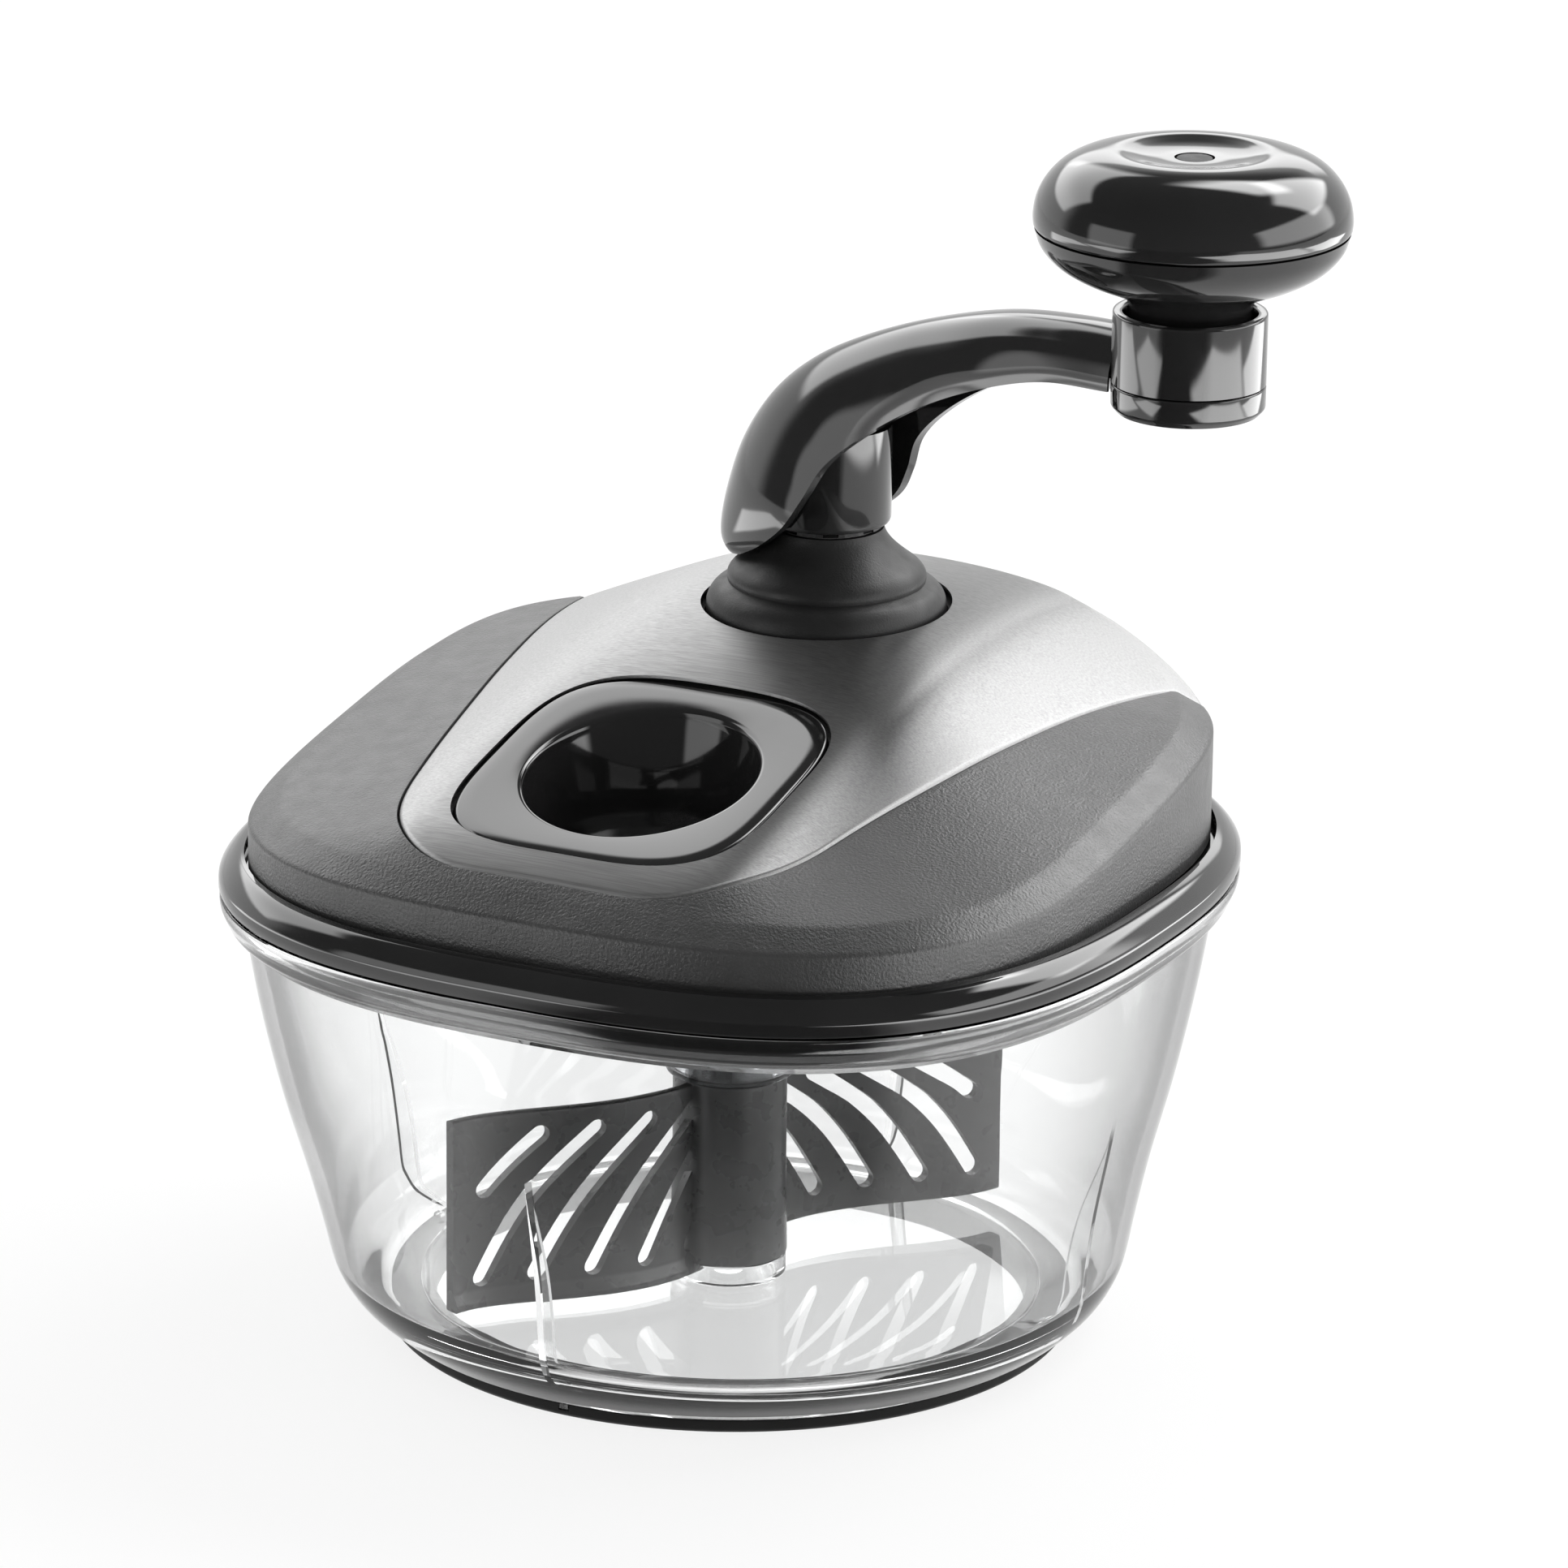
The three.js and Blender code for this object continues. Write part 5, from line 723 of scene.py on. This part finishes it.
def make_plate():
    """The plate: rolled down all round, and behind folded over the dome's edge."""
    inner = np.minimum(PLATE_REACH - 1.0, ROUND_START)
    rings = [plate_centre(), *[plate_points(inner * share) for share in np.linspace(0.03, 1, 48)]]
    rolled = [(PLATE_REACH - 1.0 + 0.95 * math.sin(a), 0.75 * (1 - math.cos(a)))
              for a in np.linspace(0, 1.5, 12)]
    for (r, down), (back_r, back_z) in zip(rolled, edge_path()):
        flat = plate_height(r * COS, r * SIN)
        rings.append(dome_points(np.where(BACK, back_r, r), np.where(BACK, back_z, flat - down)))
    r, down = rolled[-1]
    rim = plate_height(r * COS, r * SIN)
    foot = np.minimum(EDGE - CHAMFER - 1.4, 108.0)
    turned = np.maximum(EDGE - CHAMFER - 0.9, foot + 0.05)
    for back_r, back_z, front_r, front_z in (
        (WALL, foot, r, rim - down - 0.3),
        (WALL - PLATE_THICKNESS, foot, r - 0.5, rim - down - 0.3),
        (WALL - PLATE_THICKNESS, turned, r - 0.8, rim - 0.65),
    ):
        rings.append(dome_points(np.where(BACK, back_r, front_r), np.where(BACK, back_z, front_z)))
    rings += [plate_points((inner - 0.2) * share, PLATE_THICKNESS)
              for share in np.linspace(0.99, 0.03, 30)]
    rings.append(plate_centre(PLATE_THICKNESS))
    plate = new_object("brushed_plate", *skin(rings))
    cut(plate, [place(bore("tower_hole", 24.1, 100, 150, 128), y=GEAR_Y),
                leaning_plug("collar_hole", 30.8, 6, -14)])
    dress(plate, "lid", "brushed_plate", ["steel_plate"], 30)


def leaning_ring(radius_at, down, lean):
    """A ring round the filler's axis: parallel to the dome at a lean of 1, level at 0."""
    a = circle(192)
    r = radius_at(a)
    y = FILLER_Y + r * np.sin(a)
    z = CROWN_LEVEL + CROWN_SLOPE * (FILLER_Y + lean * (y - FILLER_Y)) - down
    return np.stack([r * np.cos(a), y, z], 1)


def leaning_plug(name, half, up, down):
    """A rounded square block where the filler's collar goes, for cutting."""
    shape = lambda a: square_radius(a, half, COLLAR_POWER)
    return new_object(name, *skin([
        [[0, FILLER_Y, COLLAR_LEVEL + up]], leaning_ring(shape, -up, 1),
        leaning_ring(shape, -down, 1), [[0, FILLER_Y, COLLAR_LEVEL + down]],
    ]))


def make_funnel():
    throat, bottom = COLLAR_LEVEL - THROAT_LEVEL, COLLAR_LEVEL - THROAT_BOTTOM
    square = lambda half: (lambda a: square_radius(a, half, COLLAR_POWER))
    ring = lambda radius: (lambda a: np.full(a.shape, radius))

    def narrowing(radius, down, shares):
        """Rings from a leaning one towards the level throat."""
        return [(ring(radius - THROAT_TAPER * math.sin(share * math.pi / 2)),
                 down + (throat - down) * share, 1 - share) for share in shares]

    collar = [(30.2, COLLAR_FOOT), (30.2, 1.9), (30.1, 1.45), (29.85, 1.2), (29.5, 1.1),
              (27.0, 1.1)]
    mouth = [(22.9, 1.1), (22.45, 1.17), (22.1, 1.4), (21.85, 1.8), (MOUTH_RADIUS, MOUTH_DOWN)]
    path = [
        *[(square(half), down, 1) for half, down in collar],
        *[(ring(radius), down, 1) for radius, down in mouth],
        *narrowing(MOUTH_RADIUS, MOUTH_DOWN, np.linspace(0.05, 1, 16)),
        (ring(THROAT_RADIUS), bottom - 0.4, 0), (ring(THROAT_RADIUS + 0.4), bottom, 0),
        (ring(THROAT_OUTER - 0.4), bottom, 0), (ring(THROAT_OUTER), bottom - 0.4, 0),
        (ring(THROAT_OUTER), throat, 0),
        *narrowing(FUNNEL_OUTER, COLLAR_FOOT, (0.7, 0.4, 0.15)),
        (ring(FUNNEL_OUTER), COLLAR_FOOT, 1),
    ]
    rings = [leaning_ring(shape, down, lean) for shape, down, lean in path]
    funnel = new_object("filler_collar", *skin(rings, True))
    dress(funnel, "lid", "gloss_black", ["filler_funnel"], 40)


def make_flange():
    n = RIM_POWER
    skirt = fillet([(SKIRT_INNER, LID_FLOOR, n), (SKIRT_INNER, SKIRT_BOTTOM, n),
                    (SKIRT_OUTER, SKIRT_BOTTOM, n), (SKIRT_OUTER, FLANGE_UNDER, n),
                    (89.9, FLANGE_UNDER, n)], 0.3)
    outside = curve_through([(90.3, 89.3, n), (LIP_HALF, 91.4, n), (88.9, 93.4, n),
                             (87.3, 94.7, n), (85.8, 95.1, n)], 14)
    groove = [(85.2, 95.0, 2.8), (84.8, 94.6, 2.9), (84.5, 93.4, COVER_POWER),
              (84.3, 92.6, COVER_POWER), (0, 92.5, COVER_POWER)]
    flange = squared("lid_flange", [(0, LID_FLOOR, n), *skirt, *outside, *groove])
    cut(flange, [place(bore("hole", 21.1, 80, 99), y=FILLER_Y), bore("hole", 7.2, 80, 99, 64)])
    dress(flange, "lid", "gloss_black", ["lid_base"], 30)


def make_tower():
    base = fillet([(22.9, TOWER_FOOT), (23.1, 129.4), (23.1, 130.2)], 0.3)
    foot = curve_through([(23.1, 130.2), (22.95, 131.6), (22.3, 133.2), (21.1, 134.5),
                          (19.6, 135.2), (18.95, 135.5)], 18)
    bell = curve_through([(18.95, 135.5), (19.1, 136.3), (18.9, 137.3), (18.0, 138.5),
                          (16.6, 139.6), (14.7, 141.1), (12.7, 143.0), (11.4, 144.8),
                          (10.85, TOWER_TOP)], 34)
    profile = [(TOWER_BORE, TOWER_FOOT), *base, *foot[1:], *bell[1:],
               (9.9, TOWER_TOP), (9.9, 144.8), (TOWER_BORE, 144.8)]
    tower = place(revolved("bearing_bell", profile, 160, True), y=GEAR_Y)
    dress(tower, "lid", "matt_black", ["bearing_tower"], 36)


# Crank and knob

# Sections from the column to the hood's lip: the crest's place out and up, the open edge's
# place out and up, the width, and the power that rounds it (2 / power is its squareness)
ARM_STATIONS = [
    (0.87, 1, 0.87, 0.837, 0.5, 0.8), (0.687, 0.992, 0.693, 0.82, 0.5, 0.8),
    (0.499, 0.963, 0.527, 0.756, 0.556, 0.82), (0.296, 0.888, 0.355, 0.65, 0.571, 0.87),
    (0.116, 0.792, 0.225, 0.535, 0.639, 0.93), (-0.023, 0.691, 0.132, 0.42, 0.756, 1.0),
    (-0.131, 0.568, 0.086, 0.302, 0.862, 1.06), (-0.21, 0.417, 0.04, 0.205, 0.913, 1.12),
    (-0.248, 0.271, -0.034, 0.125, 0.864, 1.12), (-0.26, 0.14, -0.126, 0.06, 0.701, 1.05),
    (-0.251, 0.04, -0.18, 0.018, 0.42, 0.95),
]


def arm_section(station, wall):
    """An arch over its open edge; a wall draws it in and lets it reach out below, for cutting."""
    crest_out, crest_up, edge_out, edge_up, width, power = station
    crest = np.array([crest_out * REACH, 0, ARM_FOOT + ARM_RISE * crest_up])
    edge = np.array([edge_out * REACH, 0, ARM_FOOT + ARM_RISE * edge_up])
    rise = crest - edge
    unit = rise / np.linalg.norm(rise)
    half = width * ARM_HALF_WIDTH - wall
    if wall > 0:
        edge = edge - unit * 2
        rise = rise + unit * (2 - wall)
    turn = np.linspace(0, np.pi, 57)
    out = edge + rise * (np.abs(np.sin(turn)) ** power)[:, None]
    out[:, 1] = -half * np.sign(np.cos(turn)) * np.abs(np.cos(turn)) ** power
    return out


def arm_loft(name, stations, wall, count, tip=None):
    rings = [arm_section(s, wall) for s in curve_through(stations, count)]
    tip = rings[-1].mean(0) if tip is None else tip
    return new_object(name, *skin([[rings[0].mean(0)], *rings, [tip]]))


def make_arm():
    tip = np.array([-0.222 * REACH, 0, ARM_FOOT + 0.9])
    arm = arm_loft("arched_arm", ARM_STATIONS, 0, 90, tip)
    bell_room = [(0, 128), (24.3, 128), (24.2, 132.0), (22.8, 135.4), (20.3, 137.0), (20.0, 138.6),
                 (18.4, 140.2), (15.9, 142.0), (13.6, 144.0), (12.4, 145.4), (12.0, TOWER_TOP),
                 (0, TOWER_TOP)]
    cut(arm, [arm_loft("hollow", ARM_STATIONS[1:-1], ARM_WALL, 70),
              revolved("bell_room", bell_room, 96),
              place(bore("cap_room", 14.5, 180, COLUMN_BOTTOM), x=REACH),
              place(bore("dish_room", 14.1, DISH_FLOOR, 205), x=REACH)])
    foot = fillet([(BOSS_RADIUS, 148.4), (11.9, BOSS_BOTTOM), (10.9, BOSS_BOTTOM)], 0.3)
    boss = revolved("boss", [(0, BOSS_TOP), (BOSS_RADIUS, BOSS_TOP), *foot,
                             (10.9, 152.2), (0, 152.2)])
    core = revolved("core", [(0, 176.0), (7.5, 174.0), (7.5, 160.0), (0, 160.0)], 48)
    side = fillet([(COLUMN_RADIUS, COLUMN_BOTTOM), (COLUMN_RADIUS, COLUMN_TOP),
                   (12.4, COLUMN_TOP), (11.9, DISH_FLOOR)], 0.55)
    column = revolved("column", [(COLUMN_BORE, 194.6), (11.8, 194.6), (11.8, COLUMN_BOTTOM),
                                 *side, (COLUMN_BORE, DISH_FLOOR)], looped=True)
    join([arm, boss, core, place(column, x=REACH)])
    place(arm, y=GEAR_Y, turn=CRANK_ANGLE)
    dress(arm, "crank", "gloss_black", ["crank_arm"], 30)


def on_knob(obj):
    """Moves a piece from the origin to the knob's axis."""
    x, y = REACH * math.cos(CRANK_ANGLE), REACH * math.sin(CRANK_ANGLE)
    return place(obj, x=x, y=GEAR_Y + y)


def make_cap():
    side = fillet([(13.2, CAP_BOTTOM), (COLUMN_RADIUS, 186.6), (COLUMN_RADIUS, CAP_TOP),
                   (11.6, CAP_TOP)], 0.4)
    cap = revolved("column_end", [(0, CAP_BOTTOM), *side, (11.5, 192.2), (9.9, 192.2),
                                  (9.9, 187.3), (0, 187.3)])
    dress(on_knob(cap), "crank", "gloss_black", ["column_cap"], 30)


def make_knob():
    under = curve_through([(11.15, COLUMN_TOP), (11.5, 205.8), (12.5, 207.3), (16.2, 208.9),
                           (21.2, 211.0), (25.3, 213.6), (27.8, 216.6), (28.75, 219.5)], 30)
    lower = revolved("knob_underside", [
        (KNOB_BORE, 194.3), (STEM_RADIUS, 194.3), (STEM_RADIUS, 201.5), (11.4, 201.5), *under,
        (26.6, 219.6), (20.3, 213.2), (11.4, 209.8), (STEM_RADIUS, 209.8), (STEM_RADIUS, 219.9),
        (KNOB_BORE, 219.9),
    ], 160, True)
    dress(on_knob(lower), "knob", "gloss_black", ["knob_lower"], 40)
    over = curve_through([(29.0, 220.3), (KNOB_RADIUS, 221.9), (28.5, 225.2), (26.9, 228.3),
                          (24.3, 231.0), (20.9, 232.8), (16.9, 233.75), (13.8, KNOB_TOP),
                          (12.3, 233.65), (9.6, 233.15), (6.6, 232.85), (3.7, 232.8)], 60)
    upper = revolved("knob_top", [
        (0, 229.4), (13.3, 231.4), (19.2, 230.0), (23.8, 226.6), (26.1, 222.7),
        (26.6, 219.95), (28.75, 219.95), *over, (3.6, 231.8), (0, 231.8),
    ], 160)
    dress(on_knob(upper), "knob", "gloss_black", ["knob_upper"], 40)
    side = fillet([(3.3, PLUG_BOTTOM), (3.3, PLUG_TOP), (0.5, PLUG_TOP)], 0.25)
    plug = revolved("knob_dot", [(0, PLUG_BOTTOM), *side, (0, PLUG_TOP)], 64)
    dress(on_knob(plug), "knob", "matt_black", ["knob_plug"], 40)


def make_socket():
    profile = fillet([
        (8.3, SLEEVE_BOTTOM), (12.3, SLEEVE_BOTTOM), (12.3, SLEEVE_TOP), (5.0, SLEEVE_TOP),
        (5.0, SOCKET_TOP), (8.3, SOCKET_TOP),
    ], 0.4, closed=True)
    sleeve = revolved("drive_sleeve", profile, looped=True)
    dress(sleeve, "spindle", "smoked_plastic", ["drive_socket"], 30)


for make in (make_bowl, make_base_ring, make_paddle, make_socket, make_flange, make_cover,
             make_plate, make_funnel, make_tower, make_arm, make_cap, make_knob):
    make()


# Stage, lights and camera

CAMERA_AZIMUTH = -62.5
CAMERA_PLACE = Vector((0, -1455, 575))
CAMERA_PITCH, CAMERA_YAW, CAMERA_ROLL = map(math.radians, (17.906, 0.37, 0.675))
PHOTO_WIDTH, FOCAL_PIXELS, SENSOR_WIDTH = 1932, 10000, 36
AIM = Vector((0, 0, 130))
# The world's strength in reflections away from its white sweep, and as light on surfaces
DIM_ROOM, FILL_LIGHT = 0.12, 0.42
# Where the sweep fades in from the sides and out towards the top, as parts of a direction
SWEEP_SIDES, SWEEP_TOP = (0.1, 0.5), (0.65, 0.3)
FLOOR_HALF = 3000
# The share of the seen floor that glows, and the glow's strength in its dark sector
FLOOR_GLOW, DARK_STRENGTH = 0.85, 0.05
# The dark sector's turn, the cosines between which its sides fade, and where it starts in metres
DARK_TURN, DARK_SIDES, DARK_START = 172, (0.68, 0.88), (0.08, 0.16)
TABLE_BOX_HEIGHT, TABLE_BOX_TARGET, TABLE_BOX_EDGE = 3, 900, 0.12


def seen_rays(tree, *kinds):
    """One socket that is 1 for any of the kinds of ray."""
    path = tree.nodes.new("ShaderNodeLightPath")
    total = path.outputs[kinds[0]]
    for kind in kinds[1:]:
        total = math_node(tree, "MAXIMUM", total, path.outputs[kind])
    return total


def ramp_of(tree, socket, low, high, start=0.0, end=1.0):
    """A soft step from start to end while a socket goes from low to high."""
    node = add(tree, "ShaderNodeMapRange",
               {"From Min": low, "From Max": high, "To Min": start, "To Max": end},
               interpolation_type="SMOOTHSTEP")
    tree.links.new(socket, node.inputs["Value"])
    return node.outputs["Result"]


def heading(turn):
    """A level direction, by its turn to the left from straight behind the lid for the camera."""
    a = math.radians(CAMERA_AZIMUTH + 180 + turn)
    return math.cos(a), math.sin(a), 0.0


def world_light():
    """White where it is seen, and in reflections a white sweep behind the object in a dim room."""
    world = bpy.data.worlds.new("studio")
    bpy.context.scene.world = world
    world.use_nodes = True
    tree = world.node_tree
    back = tree.nodes["Background"]
    back.inputs["Color"].default_value = (1, 1, 1, 1)
    where = tree.nodes.new("ShaderNodeTexCoord").outputs["Generated"]
    sweep = product_of(tree, ramp_of(tree, along(tree, where, heading(0)), *SWEEP_SIDES),
                       ramp_of(tree, along(tree, where, (0, 0, 1)), *SWEEP_TOP))
    room = ramp_of(tree, sweep, 0.0, 1.0, DIM_ROOM, 1.0)
    mirrored = add(tree, "ShaderNodeMix", {2: FILL_LIGHT}, data_type="FLOAT")
    tree.links.new(seen_rays(tree, "Is Glossy Ray"), mirrored.inputs[0])
    tree.links.new(room, mirrored.inputs[3])
    level = add(tree, "ShaderNodeMix", {3: 1.0}, data_type="FLOAT")
    tree.links.new(seen_rays(tree, "Is Camera Ray", "Is Transmission Ray"), level.inputs[0])
    tree.links.new(mirrored.outputs[0], level.inputs[2])
    tree.links.new(level.outputs[0], back.inputs["Strength"])


def make_floor():
    """A floor that glows white where it is seen, with a dark sector in front in reflections."""
    corners = [(x * FLOOR_HALF, y * FLOOR_HALF, 0) for x, y in ((-1, -1), (1, -1), (1, 1), (-1, 1))]
    floor = new_object("floor", corners, [[0, 1, 2, 3]])
    material, tree, shader = nodes_of("floor_white")
    shader.inputs["Base Color"].default_value = (0.9, 0.9, 0.9, 1)
    shader.inputs["Roughness"].default_value = 0.9
    shader.inputs["Specular IOR Level"].default_value = 0.1
    white = add(tree, "ShaderNodeEmission")
    where = tree.nodes.new("ShaderNodeTexCoord").outputs["Object"]
    unit = add(tree, "ShaderNodeVectorMath", operation="NORMALIZE")
    away = add(tree, "ShaderNodeVectorMath", operation="LENGTH")
    tree.links.new(where, unit.inputs[0])
    tree.links.new(where, away.inputs[0])
    towards = along(tree, unit.outputs[0], heading(DARK_TURN))
    shade = product_of(tree, ramp_of(tree, towards, *DARK_SIDES),
                       ramp_of(tree, away.outputs["Value"], *DARK_START),
                       seen_rays(tree, "Is Glossy Ray"))
    tree.links.new(ramp_of(tree, shade, 0.0, 1.0, 1.0, DARK_STRENGTH), white.inputs["Strength"])
    seen = seen_rays(tree, "Is Camera Ray", "Is Glossy Ray", "Is Transmission Ray")
    glow = math_node(tree, "MAXIMUM", math_node(tree, "MULTIPLY", seen, FLOOR_GLOW), shade)
    mixed = tree.nodes.new("ShaderNodeMixShader")
    tree.links.new(glow, mixed.inputs["Fac"])
    tree.links.new(shader.outputs[0], mixed.inputs[1])
    tree.links.new(white.outputs[0], mixed.inputs[2])
    tree.links.new(mixed.outputs[0], tree.nodes["Material Output"].inputs["Surface"])
    floor.data.materials.append(material)


def around(turn, elevation, distance):
    """A point round the lid, by its turn as in heading."""
    x, y, _ = heading(turn)
    e = math.radians(elevation)
    return Vector((math.cos(e) * x, math.cos(e) * y, math.sin(e))) * distance + AIM


def softbox(name, where, size, radiance, edge, target=AIM):
    """A rectangle of light aimed at the lid, set by its radiance, that fades towards its edges."""
    light = bpy.data.lights.new(name, "AREA")
    light.shape = "RECTANGLE"
    light.size, light.size_y = size[0] * MM, size[1] * MM
    light.energy = radiance * math.pi * light.size * light.size_y
    light.use_nodes = True
    tree = light.node_tree
    spot = tree.nodes.new("ShaderNodeNewGeometry")
    split = tree.nodes.new("ShaderNodeSeparateXYZ")
    tree.links.new(spot.outputs["Parametric"], split.inputs[0])
    fades = []
    for share in split.outputs[:2]:
        off = math_node(tree, "ABSOLUTE", math_node(tree, "SUBTRACT", share, 0.5))
        fades.append(ramp_of(tree, off, 0.5, 0.5 - edge))
    tree.links.new(product_of(tree, *fades), tree.nodes["Emission"].inputs["Strength"])
    obj = bpy.data.objects.new(name, light)
    obj.location = where * MM
    obj.rotation_euler = ((target - where) * MM).to_track_quat("-Z", "Y").to_euler()
    obj.visible_camera = False
    bpy.context.scene.collection.objects.link(obj)


def make_camera():
    """The camera that was fitted to the photograph."""
    data = bpy.data.cameras.new("photo_camera")
    data.sensor_width = SENSOR_WIDTH
    data.lens = SENSOR_WIDTH * FOCAL_PIXELS / PHOTO_WIDTH
    data.clip_start, data.clip_end = 0.01, 20
    camera = bpy.data.objects.new("photo_camera", data)
    level = math.cos(CAMERA_PITCH)
    forward = Vector((math.sin(CAMERA_YAW) * level, math.cos(CAMERA_YAW) * level,
                      -math.sin(CAMERA_PITCH)))
    right = forward.cross(Vector((0, 0, 1))).normalized()
    up = right.cross(forward)
    right = right * math.cos(CAMERA_ROLL) + up * math.sin(CAMERA_ROLL)
    basis = Matrix((right, right.cross(forward), -forward)).transposed()
    spin = Matrix.Rotation(math.radians(CAMERA_AZIMUTH + 90), 3, "Z")
    where = Matrix.Translation(spin @ CAMERA_PLACE * MM)
    camera.matrix_world = where @ (spin @ basis).to_4x4()
    bpy.context.scene.collection.objects.link(camera)
    bpy.context.scene.camera = camera


# Place as turn, elevation and distance, then size, radiance and how much of each side fades
SOFTBOXES = {
    "back_box": ((-8, 22, 1500), (1200, 380), 1.9, 0.2),
    "top_box": ((-35, 57, 1500), (1100, 620), 6.0, 0.3),
    "back_left_box": ((38, 34, 1500), (1750, 900), 2.5, 0.12),
    "back_right_box": ((-58, 40, 1500), (1350, 1000), 5.0, 0.15),
    "right_box": ((-98, 16, 1300), (2000, 700), 2.6, 0.15),
    "left_box": ((118, 10, 1300), (1000, 700), 1.2, 0.15),
}
# Boxes that lie on the table and shine straight up: place, size and radiance
TABLE_BOXES = {
    "right_table": ((820, -200), (860, 1100), 4.2),
    "back_table": ((640, 640), (620, 720), 5.5),
    "left_table": ((-780, -160), (620, 600), 2.8),
    "front_left_table": ((-480, -760), (640, 620), 2.8),
}

world_light()
make_floor()
for name, (where, size, radiance, edge) in SOFTBOXES.items():
    softbox(name, around(*where), size, radiance, edge)
for name, (where, size, radiance) in TABLE_BOXES.items():
    low, high = Vector((*where, TABLE_BOX_HEIGHT)), Vector((*where, TABLE_BOX_TARGET))
    softbox(name, low, size, radiance, TABLE_BOX_EDGE, high)
make_camera()
bpy.context.scene.view_settings.view_transform = "Standard"
